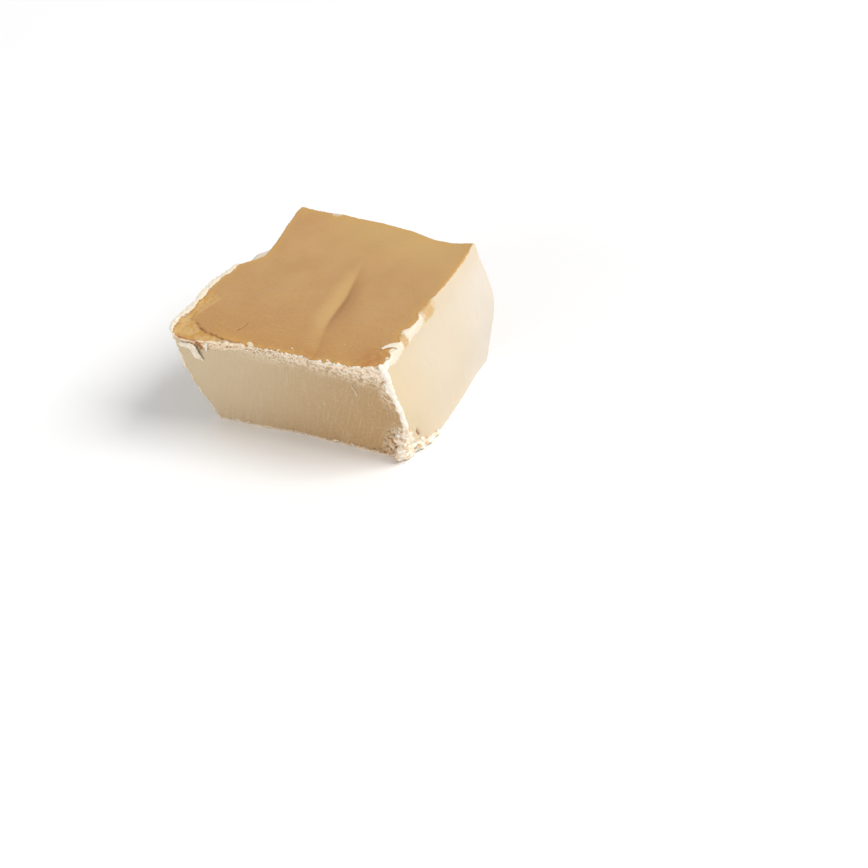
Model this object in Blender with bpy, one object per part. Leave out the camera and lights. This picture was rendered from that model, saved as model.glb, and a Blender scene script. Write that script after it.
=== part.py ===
"""A hand-cut piece of penuche fudge, as one solid.

The piece stands on its flat underside, with its front cut face towards -Y and its top skin up.
Its origin is the middle of its outer box at the underside. All sizes below are in millimetres.
"""

import math
import random

import bmesh
import bpy
import numpy as np
from mathutils import Matrix, Vector, noise

MM = 0.001

# A slab from a 203 mm square pan, cut six by six, gives pieces that measure about 34 mm a side.
LENGTH = 37.0
DEPTH = 31.0
THICKNESS = 20.8
EDGE_RADIUS = 0.4

# How far the knife strayed at each corner from the plain block: to the right, to the back, up.
TOP_DRIFT = {
    "front_left": (-1.5, -2.7, -0.4),
    "front_right": (1.2, -0.3, -0.4),
    "back_left": (2.2, 0.9, 0.0),
    "back_right": (-0.9, 1.1, 0.1),
}
UNDER_DRIFT = {
    "front_left": (0.5, 0.7, 0.0),
    "front_right": (-0.8, 1.3, 0.0),
    "back_left": (0.0, -0.2, 0.0),
    "back_right": (-0.6, -2.6, 0.0),
}

# How far each cut face swells half-way up.
LEFT_SWELL = 1.4
RIGHT_SWELL = 2.1
BACK_SWELL = 1.0
FRONT_HOLLOW = 0.5

# How far the right face's foot spread where the knife pressed it down.
RIGHT_SPREAD = 2.0

# The bay that broke out of the left side's top edge, from front to back as shares of the depth.
# At its front end only a thin flake came off, which left a low shelf.
BAY_DEPTH = 2.1
BAY_START = 0.53
BAY_DEEPEST = 0.64
BAY_END = 1.0
SHELF_DROP = 0.8

# The crease that runs across the top skin, from its faint back end to the front edge. From the
# left the skin falls gently by CREASE_FALL for each millimetre, and turns up sharply at this line.
CREASE_LINE = [
    (2.3, 5.6), (2.85, 3.5), (3.35, 1.0), (3.9, -2.0), (4.2, -5.0), (4.55, -7.6), (5.6, -11.1), (7.0, -14.9),
]
CREASE_FALL = 0.27
CREASE_REACH = 2.0
CREASE_TURN = 1.2
CREASE_BAND = (0.8, 8.3)

# The cracked lip of skin round the front left corner, with its crack about this far from the edges.
LIP_WIDTH = 2.4
LIP_DROP = 0.45
LIP_END_X = -4.0
LIP_END_Y = -7.0

# Distances between the lines of the surface grid, close together beside the edges.
FINE_PITCH = 0.42
COARSE_PITCH = 1.72
CREASE_PITCH = 0.65
FINE_BAND = 2.4

# Crumbs: above this size they get more faces, and none comes nearer to the ground than this.
BIG_CRUMB = 0.75
FOOT_CLEARANCE = 0.12
# Points that fusing left closer together than this become one.
MERGE_DISTANCE = 0.004

# The burr that the knife raised on the front right edge: height on the edge, out, up, width.
BURR = [
    (20.8, -0.5, 0.55, 0.8), (20.7, 0.05, 0.7, 1.1), (20.2, 0.45, 0.45, 1.1), (19.4, 0.62, 0.2, 1.0),
    (18.0, 0.65, 0.0, 0.9), (16.6, 0.5, 0.0, 0.85), (15.2, 0.33, 0.0, 0.8), (13.2, 0.18, 0.0, 0.72),
    (11.0, 0.12, 0.0, 0.75), (9.2, 0.1, 0.0, 0.8), (7.4, 0.1, 0.0, 1.0), (5.5, 0.05, 0.0, 1.2),
]
# Scallops along the left rim: first and last distance from the front, greatest width.
SCALLOPS = [(0.4, 3.6, 1.0), (3.0, 7.2, 1.45), (7.0, 10.8, 1.3), (9.4, 13.6, 1.35), (13.2, 17.0, 1.2)]
# Shavings on the front face: distance from the left, height, out to the front, width.
CURL = [
    (0.2, 19.7, 0.1, 0.7), (1.1, 19.3, 0.3, 0.9), (2.0, 19.2, 0.5, 1.0), (2.9, 19.2, 0.7, 1.1),
    (3.6, 18.7, 0.8, 1.2), (3.8, 17.9, 0.8, 1.25), (3.8, 17.0, 0.75, 1.2), (3.9, 16.2, 0.6, 0.95),
    (4.3, 15.4, 0.3, 0.35),
]
HANGING_SHRED = [
    (6.9, 20.3, 0.2, 0.5), (6.7, 19.6, 0.35, 0.7), (6.5, 19.0, 0.35, 0.6), (6.3, 18.4, 0.25, 0.5),
    (6.1, 17.9, 0.15, 0.2),
]
CURL_THICKNESS = 0.36
SHRED_THICKNESS = 0.3
FLAKE_FROM_FRONT = 5.5

SKIN_COLOUR = (0.56, 0.33, 0.14, 1.0)
SUGAR_COLOUR = (0.78, 0.66, 0.46, 1.0)
SEED = 34


def smooth(edge_a, edge_b, value):
    """0 at edge_a and 1 at edge_b, with an easy start and stop."""
    share = np.clip((value - edge_a) / (edge_b - edge_a), 0.0, 1.0)
    return share * share * (3.0 - 2.0 * share)


def hump(value, middle, half_width):
    """1 at the middle, falling smoothly to 0 at half_width on either side."""
    share = np.clip(np.abs(value - middle) / half_width, 0.0, 1.0)
    return 0.5 + 0.5 * np.cos(math.pi * share)


def ripple(points, wavelength, offset):
    """Smooth noise from -1 to 1 at each point, with the given distance between its bumps."""
    shift = Vector((offset, 2.0 * offset, -offset))
    return np.array([noise.noise(Vector(p) / wavelength + shift) for p in points])


def graded(length, fine_from=0.0, fine_to=0.0):
    """Places of grid lines along a length: close at both ends, and closer in a band between."""
    places = np.linspace(0.0, length, 4000)
    from_edge = np.minimum(places, length - places) / FINE_BAND
    pitch = FINE_PITCH + (COARSE_PITCH - FINE_PITCH) * smooth(0.0, 1.0, from_edge)
    in_band = (places > fine_from) & (places < fine_to)
    pitch = np.where(in_band, np.minimum(pitch, CREASE_PITCH), pitch)
    lines = np.concatenate([[0.0], np.cumsum(np.diff(places) / pitch[1:])])
    count = int(round(lines[-1]))
    return np.interp(np.linspace(0.0, lines[-1], count + 1), lines, places)


def drifted(drift, height):
    """The four corners of the block at a height, moved by where the knife went."""
    corners = {}
    for name, (right, back, up) in drift.items():
        x = LENGTH / 2 * (1 if name.endswith("right") else -1) + right
        y = DEPTH / 2 * (1 if name.startswith("back") else -1) + back
        corners[name] = np.array([x, y, height + up])
    return corners


def between(corners, u, v):
    """Points of the four-cornered patch at shares u from the left and v from the front."""
    u, v = u[:, None], v[:, None]
    front = corners["front_left"] * (1 - u) + corners["front_right"] * u
    back = corners["back_left"] * (1 - u) + corners["back_right"] * u
    return front * (1 - v) + back * v


def left_swell(v, w):
    """How far the left face stands out, with the bay and its shelf in its top edge."""
    belly = LEFT_SWELL * hump(w, 0.5, 0.55)
    bow = 1.1 * smooth(0.0, 0.05, v) * (1.0 - smooth(0.47, 0.62, v)) + 0.8 * hump(v, 0.36, 0.16)
    bay = BAY_DEPTH * smooth(BAY_START, BAY_DEEPEST, v) * (1.0 - smooth(BAY_DEEPEST, BAY_END, v))
    chip = 1.0 - smooth(BAY_DEEPEST, BAY_DEEPEST + 0.07, v)
    flaked_off = smooth(1.0 - SHELF_DROP / THICKNESS, 1.0 - 0.2 / THICKNESS, w)
    return belly + bow * w**3 - bay * (chip * flaked_off + (1.0 - chip) * w**4)


def right_swell(v, w):
    """How far the right face stands out: a belly that rises towards the back, over a spread foot."""
    belly = RIGHT_SWELL * hump(w, 0.4 + 0.12 * v, 0.6)
    spread = RIGHT_SPREAD * smooth(0.0, 0.22, v) * (1.0 - smooth(0.25, 1.05, v))
    return belly + spread * (1.0 - w) ** 3


def front_swell(u, w):
    """How far the front face stands out: its top edge bows forward and its foot is hollow."""
    top_bow = (0.85 * hump(u, 0.17, 0.2) + 0.5 * hump(u, 0.82, 0.3)) * w**4
    return top_bow - FRONT_HOLLOW * hump(u, 0.55, 0.5) * (1.0 - w) ** 2


def back_swell(u, w):
    """How far the back face stands out, with a shallow dip near the right of its top edge."""
    top_bow = (0.9 * hump(u, 0.4, 0.42) - 0.25 * hump(u, 0.8, 0.2)) * w**4
    return BACK_SWELL * hump(w, 0.55, 0.6) + top_bow


def crease(x, y):
    """Height of the top skin at the crease: steep on its right side and easy on its left."""
    line_x, line_y = np.array(CREASE_LINE[::-1]).T
    across = 0.97 * (x - np.interp(y, line_y, line_x))
    strength = smooth(7.5, -3.5, y) * (1.0 - 0.4 * smooth(-6.0, -11.0, y))
    turn = np.clip(across / CREASE_REACH + 0.7, -1.0, 1.0)
    fall = CREASE_FALL * CREASE_REACH * (turn + np.sin(math.pi * turn) / math.pi + 1.0) / 2
    rise = CREASE_FALL * CREASE_REACH * 0.98 * (1.0 - np.exp(-np.maximum(across, 0.0) / CREASE_TURN))
    return strength * (rise - fall)


def lip(x, y):
    """Drop of the cracked strip of skin round the front left corner."""
    from_left = x + LENGTH / 2 + 2.0
    from_front = y + DEPTH / 2 + 2.9
    front_part = LIP_WIDTH - from_front - 0.1 * (x + LENGTH / 2)
    left_part = LIP_WIDTH + 1.2 - from_left - 0.25 * from_front
    front_fade = 1.0 - smooth(LIP_END_X - 4.0, LIP_END_X, x)
    left_fade = 1.0 - smooth(LIP_END_Y - 4.0, LIP_END_Y, y)
    front_drop = smooth(-0.3, 0.4, front_part) * front_fade
    left_drop = 0.6 * smooth(-0.7, 0.7, left_part) * left_fade
    return -LIP_DROP * np.maximum(front_drop, left_drop)


def top_relief(x, y):
    """Height of the top skin over the plain top."""
    u = x / LENGTH + 0.5
    v = y / DEPTH + 0.5
    turned_up = 0.6 * hump(u, 1.02, 0.16) * hump(v, 1.05, 0.25)
    turned_up += 0.9 * hump(u, 0.03, 0.4) * hump(v, 1.02, 0.45)
    sag = -0.4 * hump(u, 0.82, 0.2) * hump(v, 1.05, 0.3)
    rounded = -0.3 * (1.0 - smooth(-0.06, 0.05, v))
    flat = np.stack([x, y, np.zeros_like(x)], axis=1)
    waves = 0.16 * ripple(flat, 9.0, 3.1) + 0.06 * ripple(flat, 3.7, 8.4)
    return turned_up + sag + rounded + waves + crease(x, y) + lip(x, y)


def rounded_box(box):
    """Points on the skin of a sharp-edged box, drawn in to one with rounded edges."""
    size = np.array([LENGTH, DEPTH, THICKNESS])
    core = np.clip(box, EDGE_RADIUS, size - EDGE_RADIUS)
    out = box - core
    return core + EDGE_RADIUS * out / np.linalg.norm(out, axis=1)[:, None]


def block_points(box):
    """The fudge's own surface, for points given on a sharp-edged box of the plain size."""
    shares = rounded_box(box) / np.array([LENGTH, DEPTH, THICKNESS])
    u, v, w = shares.T
    under = between(drifted(UNDER_DRIFT, 0.0), u, v)
    top = between(drifted(TOP_DRIFT, THICKNESS), u, v)
    height = w[:, None]
    points = under * (1 - height) + top * height
    points[:, 0] += u * right_swell(v, w) - (1 - u) * left_swell(v, w)
    points[:, 1] += v * back_swell(u, w) - (1 - v) * front_swell(u, w)
    points[:, 2] += w**6 * top_relief(points[:, 0], points[:, 1])
    return points


def frayed(points, box):
    """Points near the cut edges, pushed about where the knife dragged crumbs out of the sugar."""
    size = np.array([LENGTH, DEPTH, THICKNESS])
    gap = np.sort(np.minimum(box, size - box), axis=1)
    near_edge = (1.0 - smooth(0.1, 1.6, gap[:, 1])) * (0.25 + 0.75 * smooth(9.0, 3.0, box[:, 1]))
    bumps = np.stack([ripple(points, 1.1, 5.0 + 7.0 * i) for i in range(3)], axis=1)
    hollows = np.stack([ripple(points, 5.0, 31.0 + 7.0 * i) for i in range(3)], axis=1)
    moved = points + 0.32 * near_edge[:, None] * bumps + 0.18 * hollows
    foot = smooth(0.0, 1.2, box[:, 2])
    moved[:, 2] = points[:, 2] + (moved[:, 2] - points[:, 2]) * foot
    moved[box[:, 2] == 0.0, 2] = 0.0
    return moved


def surface_grid():
    """The lattice points on the skin of the plain box, and the quads between them."""
    lines = [
        graded(LENGTH, LENGTH / 2 + CREASE_BAND[0], LENGTH / 2 + CREASE_BAND[1]),
        graded(DEPTH),
        graded(THICKNESS),
    ]
    last = [len(line) - 1 for line in lines]
    places, index, quads = [], {}, []

    def corner(cell):
        if cell not in index:
            index[cell] = len(places)
            places.append([lines[axis][cell[axis]] for axis in range(3)])
        return index[cell]

    for axis in range(3):
        side_a, side_b = (axis + 1) % 3, (axis + 2) % 3
        for end in (0, last[axis]):
            if axis == 2 and end == 0:
                continue
            for i in range(last[side_a]):
                for j in range(last[side_b]):
                    ring = [(i, j), (i + 1, j), (i + 1, j + 1), (i, j + 1)]
                    if end == 0:
                        ring.reverse()
                    cells = []
                    for a, b in ring:
                        cell = [0, 0, 0]
                        cell[axis], cell[side_a], cell[side_b] = end, a, b
                        cells.append(corner(tuple(cell)))
                    quads.append(cells)
    return np.array(places), quads


def make_block(name):
    """The block itself, with a single flat face underneath."""
    box, quads = surface_grid()
    points = frayed(block_points(box), box)
    mesh = bpy.data.meshes.new(name)
    mesh.from_pydata((points * MM).tolist(), [], quads)
    block = bpy.data.objects.new(name, mesh)
    bpy.context.scene.collection.objects.link(block)
    shell = bmesh.new()
    shell.from_mesh(mesh)
    rim = [edge for edge in shell.edges if edge.is_boundary]
    bmesh.ops.contextual_create(shell, geom=rim)
    bmesh.ops.recalc_face_normals(shell, faces=shell.faces)
    shell.to_mesh(mesh)
    shell.free()
    return block


def crumb(centre, along, reach, draw, collection):
    """An uneven lump of sugar, drawn out along the edge that it clings to."""
    shell = bmesh.new()
    bmesh.ops.create_icosphere(shell, subdivisions=2 if max(reach) > BIG_CRUMB else 1, radius=1.0)
    for vertex in shell.verts:
        vertex.co *= draw.uniform(0.75, 1.2)
    spin = Matrix.Rotation(draw.uniform(0, math.tau), 4, "X")
    lean = Vector([value + draw.uniform(-0.35, 0.35) for value in along])
    turn = lean.to_track_quat("X", "Z").to_matrix().to_4x4()
    bmesh.ops.transform(shell, matrix=spin, verts=shell.verts)
    bmesh.ops.scale(shell, vec=Vector(reach), verts=shell.verts)
    bmesh.ops.transform(shell, matrix=turn, verts=shell.verts)
    bmesh.ops.translate(shell, vec=Vector(centre), verts=shell.verts)
    for vertex in shell.verts:
        vertex.co.z = max(vertex.co.z, FOOT_CLEARANCE)
    bmesh.ops.scale(shell, vec=Vector((MM, MM, MM)), verts=shell.verts)
    mesh = bpy.data.meshes.new("crumb")
    shell.to_mesh(mesh)
    shell.free()
    collection.objects.link(bpy.data.objects.new("crumb", mesh))


def crumbs_along(start, end, count, sizes, stretch, spread, draw, collection):
    """Crumbs strung out along an edge of the plain box, from start to end."""
    start, end = np.array(start), np.array(end)
    ends = block_points(np.stack([start, end]))
    along = (ends[1] - ends[0]) / np.linalg.norm(ends[1] - ends[0])
    for step in range(count):
        share = (step + draw.uniform(0.2, 0.8)) / count
        place = start * (1 - share) + end * share
        centre = block_points(place[None, :])[0]
        centre += [draw.uniform(-spread, spread) for _ in range(3)]
        radius = draw.uniform(*sizes)
        reach = [radius * draw.uniform(0.8, 1.2) for _ in range(3)]
        reach[0] *= draw.uniform(1.0, stretch)
        crumb(centre, along, reach, draw, collection)


def ribbon(path, widths, thicknesses, flat, collection):
    """A closed six-sided ribbon along a path, lying flat against the given direction."""
    sides = 6
    ahead = np.gradient(path, axis=0)
    ahead /= np.linalg.norm(ahead, axis=1)[:, None]
    across = np.cross(ahead, np.array(flat))
    across /= np.linalg.norm(across, axis=1)[:, None]
    up = np.cross(across, ahead)
    turns = np.arange(sides) * math.tau / sides
    rings = []
    for i, place in enumerate(path):
        wide = np.outer(np.cos(turns), across[i]) * widths[i] / 2
        thick = np.outer(np.sin(turns), up[i]) * thicknesses[i] / 2
        rings.append(place + wide + thick)
    points = np.concatenate(rings)
    points[:, 2] = np.maximum(points[:, 2], FOOT_CLEARANCE)
    faces = []
    for i in range(len(path) - 1):
        for j in range(sides):
            a, b = i * sides + j, i * sides + (j + 1) % sides
            faces.append([a, b, b + sides, a + sides])
    last_ring = (len(path) - 1) * sides
    faces.append([j for j in reversed(range(sides))])
    faces.append([last_ring + j for j in range(sides)])
    mesh = bpy.data.meshes.new("ribbon")
    mesh.from_pydata((points * MM).tolist(), [], faces)
    shell = bmesh.new()
    shell.from_mesh(mesh)
    bmesh.ops.recalc_face_normals(shell, faces=shell.faces)
    bmesh.ops.triangulate(shell, faces=shell.faces)
    shell.to_mesh(mesh)
    shell.free()
    collection.objects.link(bpy.data.objects.new("ribbon", mesh))


def make_crumbs(collection):
    """The crumbs that cling to the cut edges."""
    draw = random.Random(SEED)
    front_left_top = (0.0, 0.0, THICKNESS)
    front_right_top = (LENGTH, 0.0, THICKNESS)
    front_right_foot = (LENGTH, 0.0, 0.6)
    front_left_foot = (0.0, 0.0, 0.6)
    bay_top = (0.0, DEPTH * 0.55, THICKNESS)
    # The burr that the knife left down the front right edge, and its crumbled end at the foot.
    crumbs_along(front_right_top, front_right_foot, 22, (0.3, 0.5), 2.0, 0.1, draw, collection)
    crumbs_along((LENGTH, 0.0, 4.2), (LENGTH, 0.0, 0.9), 9, (0.55, 0.95), 1.2, 0.6, draw, collection)
    crumbs_along(front_right_foot, (LENGTH, 7.5, 0.6), 9, (0.35, 0.65), 1.3, 0.3, draw, collection)
    # Sugar dragged up over the skin along the right side's top edge.
    right_top_start = (LENGTH - 0.4, 0.3, THICKNESS)
    right_top_end = (LENGTH - 0.4, DEPTH * 0.52, THICKNESS)
    crumbs_along(right_top_start, right_top_end, 18, (0.3, 0.55), 1.8, 0.2, draw, collection)
    # Crumbs along the front face's top edge, its foot, and the left side's top edge.
    crumbs_along((8.0, 0.0, THICKNESS), front_right_top, 17, (0.2, 0.36), 2.2, 0.12, draw, collection)
    crumbs_along(front_left_foot, front_right_foot, 13, (0.2, 0.34), 1.6, 0.1, draw, collection)
    crumbs_along(front_left_top, bay_top, 14, (0.28, 0.45), 2.4, 0.1, draw, collection)


def make_burr(collection):
    """The burr that stands over the front right edge."""
    height, out, up, width = np.array(BURR).T
    corner = np.stack([np.full(len(BURR), LENGTH), np.zeros(len(BURR)), height], axis=1)
    path = block_points(corner) + np.stack([out, np.zeros(len(BURR)), up], axis=1)
    ribbon(path, width, 0.75 * width, (0.6, -0.6, 0.5), collection)


def make_scallops(collection):
    """The overlapping scallops of sugar along the left rim."""
    share = np.linspace(0.0, 1.0, 7)
    swell = np.sin(math.pi * np.clip(share * 0.92 + 0.05, 0.0, 1.0)) ** 0.6
    for first, last, widest in SCALLOPS:
        inset = 0.42 * widest * swell - 0.12
        rim = np.stack([inset, first + (last - first) * share, np.full(len(share), THICKNESS)], axis=1)
        widths = widest * (0.25 + 0.75 * swell)
        ribbon(block_points(rim), widths, 0.2 + 0.3 * swell, (0.0, 0.0, 1.0), collection)


def make_shaving(rows, thickness, collection):
    """A shaving that hangs on the front face."""
    from_left, height, out, width = np.array(rows).T
    face = block_points(np.stack([from_left, np.zeros(len(rows)), height], axis=1))
    path = face + np.stack([np.zeros(len(rows)), -out, 0.2 * out], axis=1)
    ribbon(path, width, np.full(len(rows), thickness), (0.0, -1.0, 0.3), collection)


def make_flake(collection):
    """The pointed flake that lies on the skin at the front right."""
    root = block_points(np.array([[LENGTH - 0.1, FLAKE_FROM_FRONT, THICKNESS]]))[0]
    share = np.linspace(0.0, 1.0, 6)
    lift = 0.12 + 0.25 * np.sin(math.pi * share)
    path = root + np.stack([0.3 - 2.2 * share, -0.3 * share - share**2, lift], axis=1)
    ribbon(path, 1.25 * (1.0 - 0.9 * share) ** 0.7, 0.42 - 0.18 * share, (0.0, 0.0, 1.0), collection)


def material(name, colour, roughness):
    """A plain sugar finish of one colour."""
    made = bpy.data.materials.new(name)
    made.use_nodes = True
    shader = made.node_tree.nodes["Principled BSDF"]
    shader.inputs["Base Color"].default_value = colour
    shader.inputs["Roughness"].default_value = roughness
    shader.inputs["Metallic"].default_value = 0.0
    return made


def fuse(block, collection):
    """One solid from the block and all that clings to it."""
    union = block.modifiers.new("crumbs", "BOOLEAN")
    union.operation = "UNION"
    union.operand_type = "COLLECTION"
    union.collection = collection
    union.solver = "EXACT"
    union.use_self = True
    graph = bpy.context.evaluated_depsgraph_get()
    graph.update()
    joined = bpy.data.meshes.new_from_object(block.evaluated_get(graph))
    block.modifiers.remove(union)
    block.data = joined
    for piece in list(collection.objects):
        bpy.data.objects.remove(piece)
    bpy.data.collections.remove(collection)


def keep_largest(block):
    """Drops any scrap that fusing left loose."""
    shell = bmesh.new()
    shell.from_mesh(block.data)
    bmesh.ops.remove_doubles(shell, verts=shell.verts, dist=MERGE_DISTANCE * MM)
    islands = []
    left = set(shell.verts)
    while left:
        island = {left.pop()}
        edge_of_search = list(island)
        while edge_of_search:
            vertex = edge_of_search.pop()
            for edge in vertex.link_edges:
                other = edge.other_vert(vertex)
                if other in left:
                    left.remove(other)
                    island.add(other)
                    edge_of_search.append(other)
        islands.append(island)
    islands.sort(key=len)
    for island in islands[:-1]:
        bmesh.ops.delete(shell, geom=list(island), context="VERTS")
    bmesh.ops.triangulate(shell, faces=shell.faces)
    shell.to_mesh(block.data)
    shell.free()


def centre_on_origin(block):
    """Moves the mesh so that its box is centred on the origin and stands on the ground plane."""
    places = np.array([vertex.co for vertex in block.data.vertices])
    low, high = places.min(axis=0), places.max(axis=0)
    middle = (low + high) / 2
    block.data.transform(Matrix.Translation((-middle[0], -middle[1], -low[2])))


def paint(block):
    """The brown skin on the faces that look up, and pale sugar on the rest."""
    block.data.materials.clear()
    block.data.materials.append(material("top_skin", SKIN_COLOUR, 0.4))
    block.data.materials.append(material("cut_sugar", SUGAR_COLOUR, 0.55))
    skin_floor = (THICKNESS - 1.2) * MM
    for face in block.data.polygons:
        is_skin = face.normal.z > 0.75 and face.center.z > skin_floor
        face.material_index = 0 if is_skin else 1


def main():
    for old in list(bpy.data.objects):
        bpy.data.objects.remove(old)
    block = make_block("fudge_block")
    loose = bpy.data.collections.new("crumbs")
    bpy.context.scene.collection.children.link(loose)
    make_crumbs(loose)
    make_burr(loose)
    make_scallops(loose)
    make_shaving(CURL, CURL_THICKNESS, loose)
    make_shaving(HANGING_SHRED, SHRED_THICKNESS, loose)
    make_flake(loose)
    fuse(block, loose)
    keep_largest(block)
    centre_on_origin(block)
    paint(block)
    block.data.set_sharp_from_angle(angle=math.radians(50))


main()
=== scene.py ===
# %% [markdown]
# # A hand-cut piece of penuche fudge
#
# Penuche is brown-sugar fudge. It is poured into a pan, and while it sets, its top dries to a
# smooth golden-brown skin. Then a knife cuts the slab into squares. So one piece has three kinds
# of surface: the skin on top, the pale cut sides, and the crumbs that the knife drags out of its
# edges. This lesson models all three, at real size.
#
# The packed model is loaded first. It is the fixed frame that every piece here has to fit.

# %% Load the frame
import math
import random

import bmesh
import bpy
import numpy as np
from mathutils import Matrix, Vector, noise


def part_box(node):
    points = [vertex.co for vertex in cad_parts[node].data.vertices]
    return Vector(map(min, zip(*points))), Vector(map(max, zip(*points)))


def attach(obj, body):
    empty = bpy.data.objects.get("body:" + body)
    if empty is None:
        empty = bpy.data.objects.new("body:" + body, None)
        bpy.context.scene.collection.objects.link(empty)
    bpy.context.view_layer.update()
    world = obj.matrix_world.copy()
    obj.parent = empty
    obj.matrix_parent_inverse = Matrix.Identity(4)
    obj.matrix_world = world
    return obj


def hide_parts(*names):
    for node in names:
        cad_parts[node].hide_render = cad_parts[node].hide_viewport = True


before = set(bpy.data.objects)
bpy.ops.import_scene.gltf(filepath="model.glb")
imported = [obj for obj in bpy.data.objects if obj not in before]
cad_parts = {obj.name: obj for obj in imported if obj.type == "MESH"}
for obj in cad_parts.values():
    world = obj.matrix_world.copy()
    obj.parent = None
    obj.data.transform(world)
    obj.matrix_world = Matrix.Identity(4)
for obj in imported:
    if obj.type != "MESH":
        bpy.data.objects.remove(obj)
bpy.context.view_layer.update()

# %% [markdown]
# ## The sizes
#
# Everything below is worked out in millimetres, because that is how a cook would measure it, and
# turned into metres at the very end. A plain box comes first. Each corner then moves by as much as
# the knife strayed there, and each face swells a little, because fudge is soft when it is cut.

# %% Driving sizes, in millimetres
MM = 0.001
LENGTH = 37.0
DEPTH = 31.0
THICKNESS = 20.8
EDGE_RADIUS = 0.4
SIZE = np.array([LENGTH, DEPTH, THICKNESS])

# The crumbs make the outer box lopsided, so the plain block isn't quite in its middle.
BLOCK_OFFSET = np.array([0.1075, 0.7892, 0.0])

# Each corner moves to the right, to the back and up.
TOP_DRIFT = {
    "front_left": (-1.5, -2.7, -0.4),
    "front_right": (1.2, -0.3, -0.4),
    "back_left": (2.2, 0.9, 0.0),
    "back_right": (-0.9, 1.1, 0.1),
}
UNDER_DRIFT = {
    "front_left": (0.5, 0.7, 0.0),
    "front_right": (-0.8, 1.3, 0.0),
    "back_left": (0.0, -0.2, 0.0),
    "back_right": (-0.6, -2.6, 0.0),
}
LEFT_SWELL = 1.4
RIGHT_SWELL = 2.1
BACK_SWELL = 1.0
FRONT_HOLLOW = 0.5
RIGHT_SPREAD = 2.0
BAY_DEPTH = 2.1
BAY_START = 0.53
BAY_DEEPEST = 0.64
BAY_END = 1.0
SHELF_DROP = 0.8

low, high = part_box("fudge_block")
print("the solid is", [round((b - a) / MM, 1) for a, b in zip(low, high)], "mm")

# %% [markdown]
# ## Small helpers
#
# Nearly every form here is a blend between two values, a single bump, noise, or a line of places
# that were measured. So each of these gets a function that works on whole arrays of points at
# once. `noise.noise` is Blender's own smooth noise, which is the same on every run.


# %% Blends, bumps and noise
def smooth(start, end, value):
    """0 at start and 1 at end, with an easy beginning and end. It also runs backwards."""
    share = np.clip((value - start) / (end - start), 0.0, 1.0)
    return share * share * (3.0 - 2.0 * share)


def hump(value, middle, half_width):
    """1 at the middle, falling smoothly to 0 at half_width on either side."""
    share = np.clip(np.abs(value - middle) / half_width, 0.0, 1.0)
    return 0.5 + 0.5 * np.cos(math.pi * share)


def bell(distance, width):
    """1 where the distance is 0, and nearly 0 at twice the width."""
    return np.exp(-((distance / width) ** 2))


def ripple(points, wavelength, offset):
    """Smooth noise from -1 to 1. The wavelength is one number, or one for each axis."""
    scaled = points / np.array(wavelength) + np.array([offset, 2.0 * offset, -offset])
    return np.array([noise.noise(place) for place in scaled.tolist()])


def sway(points, wavelength, offset, step=7.0):
    """Smooth noise with a value of its own in each of the three directions."""
    return np.stack([ripple(points, wavelength, offset + step * axis) for axis in range(3)], axis=1)


def read_off(line, place):
    """The second number of a list of pairs, at a place among the first ones."""
    return np.interp(place, *np.array(line).T)


def put_in_scene(name, data):
    """A new object that holds this data."""
    made = bpy.data.objects.new(name, data)
    bpy.context.scene.collection.objects.link(made)
    return made


print("half-way up a blend is", float(smooth(0.0, 1.0, np.array(0.5))))

# %% [markdown]
# ## The camera
#
# The photograph was taken from far away with a long lens, from the front right and above. The
# piece leans there, on others below it. Here it stands flat, so the camera leans instead: that is
# the roll. The camera looks at a point beside the piece, which puts the piece left of the middle.

# %% Camera
VIEW_AZIMUTH = 39.62
VIEW_ELEVATION = 37.55
VIEW_ROLL = -13.35
VIEW_DISTANCE = 584.0
VIEW_AIM = Vector((12.3865, 1.7208, -8.553)) + Vector(BLOCK_OFFSET)
FIELD_OF_VIEW = 14.0


def add_camera():
    """A long lens at the photograph's angle."""
    camera = put_in_scene("camera", bpy.data.cameras.new("camera"))
    azimuth, elevation = math.radians(VIEW_AZIMUTH), math.radians(VIEW_ELEVATION)
    back = Vector((math.sin(azimuth), -math.cos(azimuth), 0.0)) * math.cos(elevation)
    back.z = math.sin(elevation)
    facing = back.to_track_quat("Z", "Y")
    rolled = facing @ Matrix.Rotation(math.radians(VIEW_ROLL), 4, "Z").to_quaternion()
    camera.location = (VIEW_AIM + back * VIEW_DISTANCE) * MM
    camera.rotation_mode = "QUATERNION"
    camera.rotation_quaternion = rolled
    camera.data.angle = math.radians(FIELD_OF_VIEW)
    camera.data.clip_start = 0.01
    camera.data.clip_end = 10.0
    bpy.context.scene.camera = camera
    return camera


camera = add_camera()
print("the camera stands at", [round(value / MM) for value in camera.location], "mm")

# %% [markdown]
# ## The cut block
#
# A point on the block is given by its place on a sharp-edged box, and three shares: `u` from left
# to right, `v` from front to back, `w` from bottom to top. One function per face says how far that
# face stands out there. This is easier to steer than sculpting, and it can be made as fine or as
# coarse as is wanted.


# %% Corners and faces
def drifted(drift, height):
    """The four corners of the block at a height, moved by where the knife went."""
    corners = {}
    for name, (right, back, up) in drift.items():
        x = LENGTH / 2 * (1 if name.endswith("right") else -1) + right
        y = DEPTH / 2 * (1 if name.startswith("back") else -1) + back
        corners[name] = np.array([x, y, height + up])
    return corners


def between(corners, u, v):
    """Points of the four-cornered patch at shares u from the left and v from the front."""
    u, v = u[:, None], v[:, None]
    front = corners["front_left"] * (1 - u) + corners["front_right"] * u
    back = corners["back_left"] * (1 - u) + corners["back_right"] * u
    return front * (1 - v) + back * v


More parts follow.
